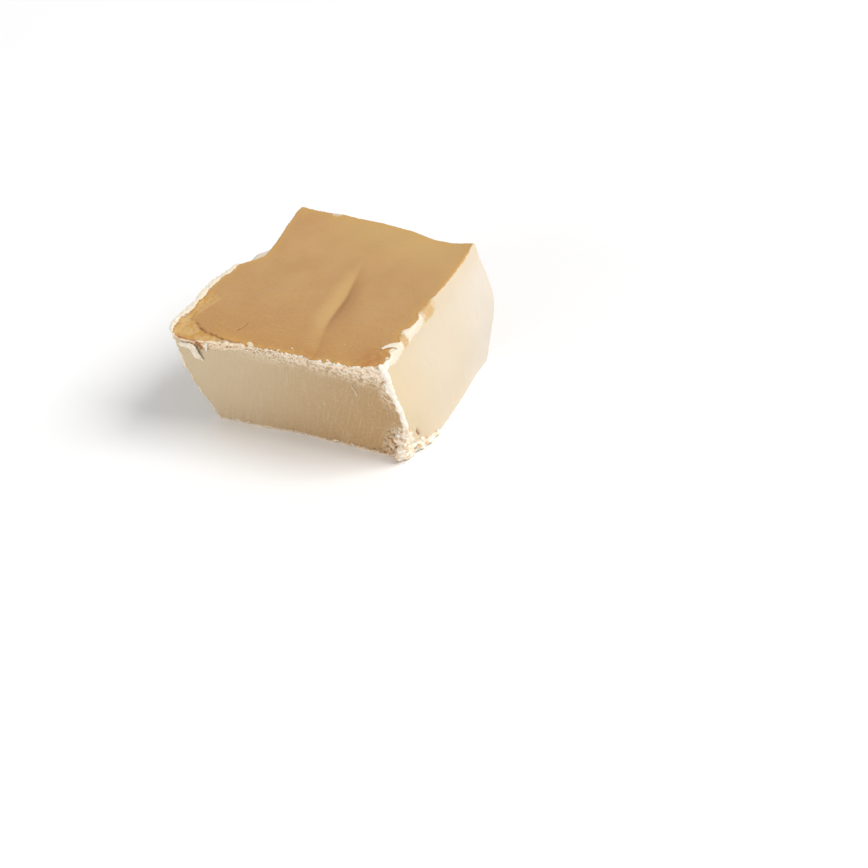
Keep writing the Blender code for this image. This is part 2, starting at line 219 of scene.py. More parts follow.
def left_swell(v, w):
    """How far the left face stands out. A flake of skin broke out of its top edge, which left a
    bay with a low shelf at its front end."""
    belly = LEFT_SWELL * hump(w, 0.5, 0.55)
    bow = 1.1 * smooth(0.0, 0.05, v) * (1.0 - smooth(0.47, 0.62, v)) + 0.8 * hump(v, 0.36, 0.16)
    bay = BAY_DEPTH * smooth(BAY_START, BAY_DEEPEST, v) * (1.0 - smooth(BAY_DEEPEST, BAY_END, v))
    chip = 1.0 - smooth(BAY_DEEPEST, BAY_DEEPEST + 0.07, v)
    flaked_off = smooth(1.0 - SHELF_DROP / THICKNESS, 1.0 - 0.2 / THICKNESS, w)
    return belly + bow * w**3 - bay * (chip * flaked_off + (1.0 - chip) * w**4)


def right_swell(v, w):
    """How far the right face stands out: a belly over a spread foot."""
    belly = RIGHT_SWELL * hump(w, 0.4 + 0.12 * v, 0.6)
    spread = RIGHT_SPREAD * smooth(0.0, 0.22, v) * (1.0 - smooth(0.25, 1.05, v))
    return belly + spread * (1.0 - w) ** 3


def front_swell(u, w):
    """How far the front face stands out: its top edge bows forward and its foot is hollow."""
    top_bow = (0.85 * hump(u, 0.17, 0.2) + 0.5 * hump(u, 0.82, 0.3)) * w**4
    return top_bow - FRONT_HOLLOW * hump(u, 0.55, 0.5) * (1.0 - w) ** 2


def back_swell(u, w):
    """How far the back face stands out, with a shallow dip near the right of its top edge."""
    top_bow = (0.9 * hump(u, 0.4, 0.42) - 0.25 * hump(u, 0.8, 0.2)) * w**4
    return BACK_SWELL * hump(w, 0.55, 0.6) + top_bow


print("the right face stands out by", float(right_swell(0.5, 0.5)), "mm half-way up")

# %% [markdown]
# ## The top skin's relief
#
# The skin isn't flat. A crease runs across it from the middle to the front edge. From the left
# it falls gently for two or three millimetres, and then it turns up sharply. So in light from the
# right it shows as a wide pale band with a dark edge. It fades out towards the front edge. Two
# corners of the skin are turned up.

# %% Crease
# Its line, from the front: (back of the middle, right of the middle).
CREASE_LINE = [
    (-14.9, 7.0), (-11.1, 5.6), (-7.6, 4.55), (-5.0, 4.2), (-2.0, 3.9), (1.0, 3.35), (3.5, 2.85), (5.6, 2.3),
]
# A step to the right crosses the slanted line by a little less than its length. The skin falls
# at this slope over this reach, and then turns up within this distance.
CREASE_SLANT = 0.97
CREASE_FALL = 0.27
CREASE_REACH = 2.0
CREASE_TURN = 1.2


def crease(x, y):
    """Height of the skin at the crease, and how far right of its line each place is."""
    across = CREASE_SLANT * (x - read_off(CREASE_LINE, y))
    strength = smooth(7.5, -3.5, y) * (1.0 - 0.7 * smooth(-4.5, -11.0, y))
    turn = np.clip(across / CREASE_REACH + 0.7, -1.0, 1.0)
    deep = CREASE_FALL * CREASE_REACH
    fall = deep * (turn + np.sin(math.pi * turn) / math.pi + 1.0) / 2
    rise = deep * 0.98 * (1.0 - np.exp(-np.maximum(across, 0.0) / CREASE_TURN))
    return strength * (rise - fall), across, strength


def top_relief(x, y):
    """Height of the top skin over the plain top."""
    u = x / LENGTH + 0.5
    v = y / DEPTH + 0.5
    turned_up = 0.6 * hump(u, 1.02, 0.16) * hump(v, 1.05, 0.25)
    turned_up += 0.9 * hump(u, 0.03, 0.4) * hump(v, 1.02, 0.45)
    sag = -0.4 * hump(u, 0.82, 0.2) * hump(v, 1.05, 0.3)
    rounded = -0.3 * (1.0 - smooth(-0.06, 0.05, v))
    flat = np.stack([x, y, np.zeros_like(x)], axis=1)
    waves = 0.14 * ripple(flat, 9.0, 3.1) + 0.04 * ripple(flat, 3.7, 8.4)
    return turned_up + sag + rounded + waves + crease(x, y)[0]


deepest = crease(np.array([3.9]), np.array([-4.0]))[0][0]
print("the crease is", round(-deepest, 2), "mm deep near its middle")

# %% [markdown]
# ## From the box to the fudge
#
# `block_points` takes places on the sharp-edged box and gives the fudge's own surface. The crumbs
# use it too later, to find the edge that they cling to.


# %% The block's own surface
def rounded_box(box):
    """Points of the box with its edges rounded, and the direction that is outwards at each."""
    core = np.clip(box, EDGE_RADIUS, SIZE - EDGE_RADIUS)
    out = box - core
    out /= np.linalg.norm(out, axis=1)[:, None]
    return core + EDGE_RADIUS * out, out


def block_points(box):
    """The fudge's own surface, for points given on the sharp-edged box."""
    rounded, _ = rounded_box(box)
    u, v, w = (rounded / SIZE).T
    under = between(drifted(UNDER_DRIFT, 0.0), u, v)
    top = between(drifted(TOP_DRIFT, THICKNESS), u, v)
    height = w[:, None]
    points = under * (1 - height) + top * height
    points[:, 0] += u * right_swell(v, w) - (1 - u) * left_swell(v, w)
    points[:, 1] += v * back_swell(u, w) - (1 - v) * front_swell(u, w)
    points[:, 2] += w**6 * top_relief(points[:, 0], points[:, 1])
    return points


def frayed(points, box):
    """Points near the cut edges, pushed about where the knife dragged crumbs out of the sugar."""
    gap = np.sort(np.minimum(box, SIZE - box), axis=1)
    near_edge = 1.0 - smooth(0.1, 1.6, gap[:, 1])
    worn = 0.25 + 0.75 * smooth(9.0, 3.0, box[:, 1])
    bumps = (worn * near_edge)[:, None] * sway(points, 1.1, 5.0)
    return points + 0.28 * bumps + 0.18 * sway(points, 5.0, 31.0)


print("the fudge's surface is worked out from", SIZE, "mm")

# %% [markdown]
# ## Where the skin ends
#
# The skin's border is the most telling line of the whole piece. At the back it runs along the
# edge. On the right the knife dragged pale sugar up over it in a ragged burr, and on the left it
# stops a millimetre short. So each side has a short list of how far in the border lies, read from
# the photograph, and the distance from it is stored on every vertex. The finish can then draw the
# border crisply and add its own small noise.

# %% Borders of the skin, as pairs of (distance along the edge, distance in from it)
RIGHT_BORDER = [
    (0.0, 0.6), (1.2, 0.15), (2.2, 0.05), (3.3, 0.2), (3.9, 0.8), (4.6, 0.9), (5.3, 0.4), (6.4, 0.15),
    (7.0, 0.85), (8.0, 0.85), (8.8, 1.05), (9.8, 0.3), (11.0, 0.0), (12.2, -0.1), (12.7, 0.55), (13.9, 0.9),
    (15.0, 0.4), (16.6, 0.6), (17.6, 0.3), (20.5, 0.0), (26.7, -0.2), (31.0, 0.3),
]
LEFT_BORDER = [
    (0.0, 0.6), (1.0, 0.85), (2.7, 0.4), (3.6, 0.9), (4.5, 1.2), (5.5, 0.8), (7.0, 0.35), (8.2, 0.65),
    (9.2, 0.9), (10.3, 0.9), (11.6, 0.5), (12.6, 0.6), (13.2, 0.9), (14.4, 0.5), (15.0, 0.75), (16.2, 0.2),
    (17.0, 0.3), (18.0, 0.2), (20.5, 0.0), (31.0, -0.1),
]
FRONT_BORDER = [
    (0.0, -0.4), (1.7, -0.6), (2.7, -0.7), (4.0, -0.4), (5.0, -0.35), (6.0, 0.0), (7.5, 0.3), (9.0, 0.6),
    (10.0, 0.6), (11.5, 0.4), (13.2, 0.0), (14.4, 0.0), (15.8, -0.3), (17.5, -0.8), (19.0, -0.5),
    (20.7, -0.65), (22.1, -0.3), (23.9, -0.65), (25.1, -0.4), (26.4, -0.5), (28.0, -0.15), (33.6, -0.1),
    (34.6, 0.1), (35.9, 0.65), (37.0, 1.3),
]
BACK_BORDER = [(0.0, 0.0), (6.3, -0.1), (7.0, 0.7), (8.2, 0.8), (9.0, 0.0), (37.0, 0.0)]


def skin_depth(box):
    """Distance inside the skin's border in millimetres, and below 0 on the cut sides."""
    from_left, from_front, height = box.T
    below = THICKNESS - height
    return np.minimum.reduce([
        LENGTH - from_left - below - read_off(RIGHT_BORDER, from_front),
        from_left - below - read_off(LEFT_BORDER, from_front),
        from_front - below - read_off(FRONT_BORDER, from_left),
        DEPTH - from_front - below - read_off(BACK_BORDER, from_left),
    ])


print("the skin's border is given by", len(RIGHT_BORDER + LEFT_BORDER + FRONT_BORDER), "places")

# %% [markdown]
# ## Cracks, folds and pits
#
# When the knife came down, the skin cracked along the front left, and the strip outside the crack
# sank a little. Lines like this one are given as a few places, measured on the face that they run
# over. `beside` gives each point's distance from such a line, and a bell of that distance is the
# groove. The same value colours it later, so that the dark line and its groove always agree.

# %% Lines on the faces
# On the top: (from the left, from the front).
CRACK = [(3.0, 3.5), (4.2, 3.0), (4.9, 2.5), (6.2, 2.0), (8.4, 1.3), (9.3, 0.7), (11.5, 0.4), (13.2, 0.0)]
FOLD = [(2.4, 3.3), (2.4, 4.9), (2.5, 6.2), (3.15, 8.1), (3.7, 9.6)]
FOLD_LIT_SIDE = [(2.2, 4.2), (2.6, 5.6), (3.1, 7.4), (3.8, 9.2)]
SCRATCH = [(11.4, 4.7), (11.5, 3.7), (11.0, 2.3)]
# On the front: (from the left, height).
UNDER_LIP = [
    (0.9, 20.3), (1.7, 20.1), (2.7, 20.0), (4.0, 20.3), (4.9, 20.2), (5.4, 19.6), (5.45, 18.8), (5.3, 18.0),
]
LIP_PATCH = [(4.5, 19.9), (5.1, 19.3), (5.35, 18.4), (5.2, 17.9)]
LAYERS = [(7.9, 19.5), (8.8, 19.1), (10.7, 18.7), (12.5, 18.4), (13.6, 18.0)]
LOOSE_FLAKE = [(16.4, 19.8), (17.4, 19.7), (18.2, 19.2), (18.7, 18.8), (17.4, 18.5), (16.3, 18.5)]
# Pits on the front: (from the left, height, radius).
PITS = [
    (34.3, 4.1, 0.35), (34.7, 3.3, 0.5), (35.3, 2.5, 0.5), (34.3, 1.0, 0.6), (33.3, 0.6, 0.5),
    (35.0, 5.4, 0.3), (33.6, 2.4, 0.3), (32.4, 1.2, 0.35), (34.0, 6.2, 0.3), (33.0, 3.6, 0.25),
    (35.6, 7.4, 0.25), (31.2, 0.8, 0.3), (7.9, 19.9, 0.2),
]
# A hollow on the right face: (from the front, height). Its shadow is painted dark, together with the pits.
HOLLOW = [(3.2, 5.0), (3.45, 4.0), (4.0, 2.8)]


def beside(line, across, along):
    """Distance from a line of places, and how far along it the nearest one is, from 0 to 1."""
    nearest = np.full(across.shape, 1e9)
    progress = np.zeros(across.shape)
    line = np.array(line)
    for step, (start, end) in enumerate(zip(line[:-1], line[1:])):
        run = end - start
        share = ((across - start[0]) * run[0] + (along - start[1]) * run[1]) / (run @ run)
        share = np.clip(share, 0.0, 1.0)
        gap = np.hypot(across - start[0] - share * run[0], along - start[1] - share * run[1])
        closer = gap < nearest
        nearest = np.where(closer, gap, nearest)
        progress = np.where(closer, (step + share) / (len(line) - 1), progress)
    return nearest, progress


def line_mark(line, across, along, width):
    """1 on a line, fading to 0 beside it and towards its ends."""
    gap, progress = beside(line, across, along)
    return bell(gap, width) * smooth(0.0, 0.12, progress) * smooth(1.0, 0.88, progress)


def marks(box, at):
    """Every dark mark of the surface, and the sunken strip outside the crack. The hollow's mark is its
    painted shadow, and the crack's dark line is partly painted shade.
    """
    broken = 0.75 + 0.6 * ripple(box, 0.8, 61.0)
    from_left, from_front, height = (box + 0.2 * sway(box, 0.7, 51.0, 3.0)).T
    crack = 1.2 * line_mark(CRACK, from_left, from_front, 0.13) * at["top"] * broken
    lip = line_mark(UNDER_LIP, from_left, height, 0.28) * at["front"]
    lip = np.maximum(lip, line_mark(LIP_PATCH, from_left, height, 0.36) * at["front"])
    layers = 0.6 * line_mark(LAYERS, from_left, height, 0.14) * at["front"] * broken
    flake = 0.75 * line_mark(LOOSE_FLAKE, from_left, height, 0.15) * at["front"]
    scratch = 0.8 * line_mark(SCRATCH, from_left, from_front, 0.17) * at["top"]
    hollow = line_mark(HOLLOW, from_front, height, 0.3) * at["right"]
    pits = np.zeros(len(box))
    for place, rise, radius in PITS:
        pits = np.maximum(pits, bell(np.hypot(from_left - place, height - rise), radius))
    in_front = read_off(CRACK, from_left) - from_front
    outside = read_off([place[::-1] for place in FOLD], from_front) - from_left
    sunken = np.maximum(
        smooth(0.0, 0.25, in_front) * smooth(13.0, 9.0, from_left),
        smooth(0.0, 0.5, outside) * smooth(10.5, 8.0, from_front),
    )
    return {
        "lines": np.maximum.reduce([crack, 0.6 * lip, layers, flake, scratch]),
        "under_lip": lip,
        "pits": np.maximum(pits * at["front"], hollow),
        "strip": sunken * at["top"],
        "in_front": in_front,
    }


print("the crack has", len(CRACK), "places")

# %% [markdown]
# ## Fine relief of the cut faces
#
# Each face was cut in its own way, and it shows. The front face has fine slanting lines from the
# blade, and a torn band along its top where the dry skin flaked off in layers. Its right edge is
# frayed, and its foot there crumbled. The right face is smooth. All of this is given as a height
# in millimetres, and pushed straight out of the face.

# %% How strongly each place belongs to a face or an edge
# The torn band on the front: (from the left, width).
TORN_BAND = [
    (0.0, 1.2), (4.0, 2.4), (8.0, 2.8), (14.3, 1.8), (22.5, 1.2), (29.0, 1.9), (32.5, 2.9), (37.0, 3.4),
]
# The blade's strokes on the front lean over: (from the left, lean for each millimetre of height).
STROKE_LEAN = [(0.0, 0.48), (LENGTH, 0.26)]


def strokes(box):
    """Where each place lies across the blade's strokes, which lean over on the front face."""
    from_left, from_front, height = box.T
    lean = read_off(STROKE_LEAN, from_left) * smooth(0.5, 0.0, from_front)
    return np.stack([from_left + from_front - lean * height, np.zeros(len(box)), height], axis=1)


def regions(box):
    """Shares from 0 to 1 for each region of the surface."""
    from_left, from_front, height = box.T
    below = THICKNESS - height
    uneven = below + 0.5 * ripple(box, (1.0, 1.0, 1.6), 71.0)
    from_right = LENGTH - from_left
    front = smooth(0.5, 0.0, from_front)
    right = smooth(0.5, 0.0, from_right)
    foot = np.sqrt(from_right**2 + from_front**2 + 0.35 * (height - 1.6) ** 2)
    band = read_off(TORN_BAND, from_left)
    above_or_below = np.maximum(smooth(10.0, 14.0, height), smooth(8.0, 5.0, height))
    right_burr = smooth(18.5, 15.5, from_front) * smooth(0.3, 1.2, from_front)
    burr_reach = 2.0 * hump(from_front, 4.5, 3.8) + 1.5 * ripple(box, (1.5, 1.5, 2.5), 73.0)
    skin_dragged_down = np.maximum(hump(from_front, 14.8, 3.6), hump(from_front, 7.3, 1.5))
    hem = bell(from_front + height, 0.7) + bell(from_right + height, 0.5)
    return {
        "front": front,
        "right": right,
        "left": smooth(0.5, 0.0, from_left),
        "back": smooth(0.5, 0.0, DEPTH - from_front),
        "top": smooth(0.5, 0.0, below),
        "torn": front * smooth(1.05, 0.5, uneven / band),
        "brow": front * smooth(0.8, 0.3, uneven) * smooth(9.0, 16.0, from_left),
        "mottled": front * smooth(band + 3.2, 0.6 * band, uneven),
        "ridge": bell(from_right + from_front, 0.45) * smooth(0.0, 1.0, height),
        "beside_ridge": front * smooth(3.4, 0.4, from_right) * above_or_below,
        "crumbled": smooth(5.2, 1.0, foot),
        "rim": bell(from_left + below, 1.1) * smooth(23.5, 21.0, from_front),
        "burr": smooth(2.6 + burr_reach, 0.6, from_right + below) * right_burr,
        "smeared": smooth(2.6, 1.0, from_right + below) * skin_dragged_down,
        "hem": hem + bell(from_left + from_front, 0.6),
    }


print("the torn band is", max(width for _, width in TORN_BAND), "mm wide at its widest")

# %% Fine relief
def fine_relief(points, box, at, mark):
    """How far the finest relief pushes each point outwards, in millimetres."""
    from_left, from_front, height = box.T
    stroke = strokes(box)
    blade = 0.6 * ripple(stroke, (0.6, 1.0, 7.0), 12.0) + 0.4 * ripple(stroke, (0.35, 1.0, 4.0), 14.0)
    combed = 0.5 + 0.5 * smooth(8.0, 34.0, from_left) + smooth(3.5, 0.5, height)
    relief = 0.035 * combed * blade * at["front"]
    relief += 0.04 * ripple(points, (2.0, 2.4, 9.0), 17.0) * (at["right"] + at["left"])
    relief += 0.02 * blade * (at["back"] + at["left"])

    layers = 0.6 * ripple(points, (1.6, 0.8, 0.35), 21.0) + 0.4 * ripple(points, 0.5, 23.0)
    grains = ripple(points, 0.42, 25.0)
    lumps = ripple(points, 1.1, 27.0)
    flaking = at["torn"] * (1.0 - 0.45 * smooth(15.0, 24.0, from_left))
    relief += flaking * (0.15 * layers + 0.07 * grains - 0.02)
    relief += at["brow"] * (0.08 + 0.1 * lumps)
    relief += (at["mottled"] + at["beside_ridge"]) * 0.04 * grains
    relief += at["ridge"] * (0.15 + 0.12 * lumps)
    relief += at["crumbled"] * (0.34 * lumps + 0.2 * grains)
    relief += at["rim"] * (0.08 + 0.14 * ripple(points, 1.5, 33.0) + 0.05 * grains)
    relief += at["hem"] * 0.07 * grains

    pale = smooth(0.1, -0.25, skin_depth(box))
    relief += at["burr"] * pale * (0.12 + 0.16 * lumps + 0.06 * grains)

    lifted = bell(mark["in_front"] + 0.4, 0.3) * smooth(3.0, 4.0, from_left) * smooth(12.0, 9.0, from_left)
    fold = line_mark(FOLD, from_left, from_front, 0.3)
    scratch = line_mark(SCRATCH, from_left, from_front, 0.16)
    relief += at["top"] * (0.08 * lifted + 0.14 * fold - 0.05 * scratch)
    relief += -0.3 * mark["strip"] - 0.1 * mark["lines"] - 0.34 * mark["pits"]
    relief += 0.06 * mark["strip"] * (grains + layers)
    return relief


sample = np.array([[LENGTH / 4, 0.0, THICKNESS - 1.0]])
shares = regions(sample)
height_there = fine_relief(block_points(sample), sample, shares, marks(sample, shares))[0]
print("one place of the torn band stands out by", round(height_there, 3), "mm")

# %% [markdown]
# ## One mesh for the whole block
#
# The six sides of the box share one set of grid lines for each axis, so the sides meet vertex to
# vertex and the mesh is closed without any merging. The lines lie close together near the edges
# and at the crease, where the form changes quickly, and further apart elsewhere.

# %% Grid lines and faces
FINE_PITCH = 0.15
COARSE_PITCH = 0.32
FINE_BAND = 3.2
# Stretches with a pitch of their own: (start, end, pitch).
FINE_ALONG = [(0.0, 13.5, 0.15), (18.5, 26.5, 0.19)]
FINE_ACROSS = [(0.0, 3.9, 0.12)]
FINE_UP = [(17.4, THICKNESS, 0.15)]
SAMPLES_ALONG = 4000


def graded(length, bands):
    """Places of grid lines along a length: close at both ends and in bands of their own pitch."""
    places = np.linspace(0.0, length, SAMPLES_ALONG)
    from_edge = np.minimum(places, length - places) / FINE_BAND
    pitch = FINE_PITCH + (COARSE_PITCH - FINE_PITCH) * smooth(0.3, 1.0, from_edge)
    for start, end, fine in bands:
        pitch = np.where((places > start) & (places < end), np.minimum(pitch, fine), pitch)
    lines = np.concatenate([[0.0], np.cumsum(np.diff(places) / pitch[1:])])
    count = int(round(lines[-1]))
    return np.interp(np.linspace(0.0, lines[-1], count + 1), lines, places)


def surface_grid():
    """The lattice points on the skin of the box, and the quads between them, facing outwards."""
    lines = [graded(LENGTH, FINE_ALONG), graded(DEPTH, FINE_ACROSS), graded(THICKNESS, FINE_UP)]
    last = [len(line) - 1 for line in lines]
    places, index, quads = [], {}, []

    def corner(cell):
        if cell not in index:
            index[cell] = len(places)
            places.append([lines[axis][cell[axis]] for axis in range(3)])
        return index[cell]

    for axis in range(3):
        side_a, side_b = (axis + 1) % 3, (axis + 2) % 3
        for end in (0, last[axis]):
            for i in range(last[side_a]):
                for j in range(last[side_b]):
                    ring = [(i, j), (i + 1, j), (i + 1, j + 1), (i, j + 1)]
                    if end == 0:
                        ring.reverse()
                    cells = []
                    for a, b in ring:
                        cell = [0, 0, 0]
                        cell[axis], cell[side_a], cell[side_b] = end, a, b
                        cells.append(corner(tuple(cell)))
                    quads.append(cells)
    return np.array(places), quads


GRID_PLACES, GRID_QUADS = surface_grid()
print("the grid has", len(GRID_PLACES), "places and", len(GRID_QUADS), "faces")


# %% Meshes, and the numbers that they keep
def mesh_object(name, points, faces):
    """An object from points in millimetres, shaded smooth."""
    mesh = bpy.data.meshes.new(name)
    mesh.from_pydata(((points + BLOCK_OFFSET) * MM).tolist(), [], faces)
    mesh.shade_smooth()
    return put_in_scene(name, mesh)


def store(piece, **values):
    """Keeps numbers for each vertex, which the finish reads by their names."""
    for name, numbers in values.items():
        layer = piece.data.attributes.new(name, "FLOAT", "POINT")
        layer.data.foreach_set("value", np.asarray(numbers, np.float32))


def at_vertices(mesh, name):
    """The place ("co") or the outward direction ("normal") of every vertex."""
    values = np.zeros(len(mesh.vertices) * 3)
    mesh.vertices.foreach_get(name, values)
    return values.reshape(-1, 3)


def store_cavities(piece, rounds, deep):
    """Keeps how far each vertex lies below its smoothed surroundings, 1 at this depth in mm."""
    mesh = piece.data
    count = len(mesh.vertices)
    points = at_vertices(mesh, "co") / MM
    ends = np.zeros(len(mesh.edges) * 2, int)
    mesh.edges.foreach_get("vertices", ends)
    ends = ends.reshape(-1, 2)
    here, there = np.concatenate([ends, ends[:, ::-1]]).T
    neighbours = np.bincount(here, minlength=count)
    level = points.copy()
    for _ in range(rounds):
        for axis in range(3):
            total = np.bincount(here, weights=level[there, axis], minlength=count)
            level[:, axis] = 0.4 * level[:, axis] + 0.6 * total / neighbours
    below = np.einsum("ij,ij->i", level - points, at_vertices(mesh, "normal"))
    store(piece, cavity=smooth(0.0, deep, below))


print("meshes are moved by", BLOCK_OFFSET, "mm to the frame's place")

# %% [markdown]
# The finish needs to know where light and shade are painted at the crease, where the sugar is frosted or
# mottled, and where the skin is toasted or has the flake's shadow painted on it. These shares are stored on
# the vertices too, because they follow the form, and noise in the material alone couldn't find them.


# %% Tones that follow the form
def crease_tones(points, box, at):
    """Painted light on the crease's left flank and on the fold's lit side, and painted shade along the
    crease's dark edge.
    """
    back = points[:, 1]
    _, across, strength = crease(points[:, 0], back)
    reach = 0.7 + 1.0 * smooth(6.5, -1.0, back)
    band = smooth(-2.4 * reach, -0.5 * reach, across) * smooth(0.15, -0.4 * reach, across)
    band *= smooth(9.0, 2.0, back)
    band *= 1.0 - 0.7 * smooth(-8.0, -13.0, back)
    lit_fold = line_mark(FOLD_LIT_SIDE, box[:, 0], box[:, 1], 0.32)
    dark = 0.55 * bell(across - 0.3, 0.5) + 0.55 * bell(across - 1.0, 1.7)
    dark *= smooth(-0.3, 0.0, across)
    return at["top"] * np.maximum(band, lit_fold), at["top"] * strength * dark


# How white the frost is in each region.
FROST = {
    "torn": 0.85, "brow": 1.0, "ridge": 1.0, "crumbled": 0.85, "rim": 0.9, "hem": 0.9,
    "mottled": 0.45, "beside_ridge": 0.4, "burr": 0.8,
}


def mottled(from_left, at):
    """Where the front face is blotched with frost."""
    speckled = at["mottled"] * smooth(8.0, 22.0, from_left)
    return np.maximum.reduce([speckled, at["crumbled"] * at["front"], 0.8 * at["beside_ridge"]])


def toasted(from_left, from_front, at):
    """Where the skin browned most: at the front right, where the flake's shadow is painted on it as well,
    and a little left of the crease's end.
    """
    brown = hump(from_left, 34.6, 3.6) * smooth(5.6, 2.6, from_front)
    brown += 0.8 * hump(from_left, 24.0, 2.4) * smooth(2.6, 0.2, from_front)
    return at["top"] * np.clip(brown, 0.0, 1.0)


print("frost lies on", len(FROST), "kinds of places")


# %% Model the block
def make_block():
    """The whole piece of fudge without its loose crumbs."""
    box = GRID_PLACES
    from_left, from_front, height = box.T
    at = regions(box)
    mark = marks(box, at)
    _, out = rounded_box(box)
    points = frayed(block_points(box), box)
    points += out * fine_relief(points, box, at, mark)[:, None]
    lowest = 0.03 + 0.3 * smooth(0.0, 1.2, height) * height
    points[:, 2] = np.where(height == 0.0, 0.0, np.maximum(points[:, 2], lowest))

    block = mesh_object("fudge_body", points, GRID_QUADS)
    pale_band, dark_edge = crease_tones(points, box, at)
    store(block, pale_band=pale_band, dark_edge=dark_edge, toasted=toasted(from_left, from_front, at))
    store(block, frost=np.maximum.reduce([share * at[name] for name, share in FROST.items()]))
    store(block, mottled=mottled(from_left, at), smeared=at["smeared"], front=at["front"])
    store(block, skin_depth=skin_depth(box), stroke=strokes(box)[:, 0], rise=height)
    store(block, from_left=from_left / LENGTH, from_front=from_front / DEPTH, height=height / THICKNESS)
    store(block, **{name: mark[name] for name in ("lines", "pits", "strip", "under_lip")})
    store_cavities(block, 6, 0.07)
    return block


block = make_block()
print("the block has", len(block.data.polygons), "faces")

# %% [markdown]
# ## Crumbs and shavings
#
# Crumbs cling to the edges that the blade dragged over. Each is an uneven lump, drawn out along
# its edge. Hundreds of them overlap, and a voxel remesh then melts them into one crumbly crust,
# as real crumbs cake together. The largest come first, and the fine ones fill in around them.

# %% Lumps
SEED = 34
# A crumb that reaches further than this gets a rounder ball. None comes nearer to the table than
# the clearance.
BIG_CRUMB = 0.75
FOOT_CLEARANCE = 0.12


def several(draw, low, high, count):
    """This many random numbers between two others."""
    return np.array([draw.uniform(low, high) for _ in range(count)])


def shaken(draw, reach, count):
    """A small random shift for each of this many points."""
    return several(draw, -reach, reach, 3 * count).reshape(count, 3)


def on_block(*place):
    """The one point of the fudge's surface for a place on the box."""
    return block_points(np.array([place]))[0]


def ball(subdivisions):
    """The corners and faces of a round ball of triangles."""
    shell = bmesh.new()
    bmesh.ops.create_icosphere(shell, subdivisions=subdivisions, radius=1.0)
    corners = np.array([vertex.co for vertex in shell.verts])
    faces = [[vertex.index for vertex in face.verts] for face in shell.faces]
    shell.free()
    return corners, faces


BALLS = {1: ball(1), 2: ball(2)}


class Heap:
    """Many small closed shapes gathered into one list of points and faces."""

    def __init__(self):
        self.points, self.faces, self.count = [], [], 0

    def add(self, points, faces):
        self.faces += [[corner + self.count for corner in face] for face in faces]
        self.points.append(points)
        self.count += len(points)

    def crumb(self, centre, along, reach, draw):
        """An uneven lump of sugar, drawn out along the edge that it clings to."""
        corners, faces = BALLS[2 if max(reach) > BIG_CRUMB else 1]
        uneven = corners * several(draw, 0.75, 1.2, len(corners))[:, None]
        spin = Matrix.Rotation(draw.uniform(0, math.tau), 3, "X")
        lean = Vector(along + several(draw, -0.35, 0.35, 3))
        turn = lean.to_track_quat("X", "Z").to_matrix()
        points = (uneven @ np.array(spin).T * np.array(reach)) @ np.array(turn).T + np.array(centre)
        points[:, 2] = np.maximum(points[:, 2], FOOT_CLEARANCE)
        self.add(points, faces)

    def crumbs_along(self, draw, start, end, count, sizes, stretch, spread, sink=0.0, flatten=1.0):
        """Crumbs strung out along a line on the box, from start to end, and sunk into it."""
        start, end = np.array(start), np.array(end)
        along = on_block(*end) - on_block(*start)
        along /= np.linalg.norm(along)
        for step in range(count):
            share = (step + draw.uniform(0.2, 0.8)) / count
            centre = on_block(*(start * (1 - share) + end * share))
            centre += several(draw, -spread, spread, 3)
            centre[2] -= sink
            radius = draw.uniform(*sizes)
            reach = radius * several(draw, 0.8, 1.2, 3)
            reach[0] *= draw.uniform(1.0, stretch)
            reach[2] *= flatten
            self.crumb(centre, along, reach, draw)

    def strand(self, path, widths, thicknesses, flat=(0.0, 0.0, 1.0), sides=8):
        """A closed ribbon along a path, with a width and a thickness at each of its points."""
        path = np.array(path, float)
        ahead = np.gradient(path, axis=0)
        ahead /= np.linalg.norm(ahead, axis=1)[:, None]
        across = np.cross(ahead, np.array(flat))
        across /= np.linalg.norm(across, axis=1)[:, None]
        up = np.cross(across, ahead)
        turns = np.arange(sides) * math.tau / sides
        rings = []
        for i, place in enumerate(path):
            ring = np.outer(np.cos(turns), across[i]) * widths[i] / 2
            rings.append(place + ring + np.outer(np.sin(turns), up[i]) * thicknesses[i] / 2)
        points = np.concatenate(rings + [path[:1], path[-1:]])
        faces = []
        for i in range(len(path) - 1):
            for j in range(sides):
                a, b = i * sides + j, i * sides + (j + 1) % sides
                faces.append([a, b, b + sides, a + sides])
        tip_a, tip_b = len(path) * sides, len(path) * sides + 1
        final = (len(path) - 1) * sides
        for j in range(sides):
            faces.append([tip_a, (j + 1) % sides, j])
            faces.append([tip_b, final + j, final + (j + 1) % sides])
        points[:, 2] = np.maximum(points[:, 2], FOOT_CLEARANCE)
        self.add(points, faces)


print("a small crumb has", len(BALLS[1][0]), "corners, and a big one", len(BALLS[2][0]))

# %% [markdown]
# The first crumbs are the large ones that the solid model has too, from the same random seed, so
# they sit in the same places. Then come the small ones, which only show from close by.

# %% Where the crumbs are
FRONT_LEFT_TOP = (0.0, 0.0, THICKNESS)
FRONT_RIGHT_TOP = (LENGTH, 0.0, THICKNESS)
FRONT_RIGHT_FOOT = (LENGTH, 0.0, 0.6)
FRONT_LEFT_FOOT = (0.0, 0.0, 0.6)
BAY_TOP = (0.0, DEPTH * 0.55, THICKNESS)
RIGHT_TOP_START = (LENGTH - 0.4, 0.3, THICKNESS)
RIGHT_TOP_END = (LENGTH - 0.4, DEPTH * 0.52, THICKNESS)

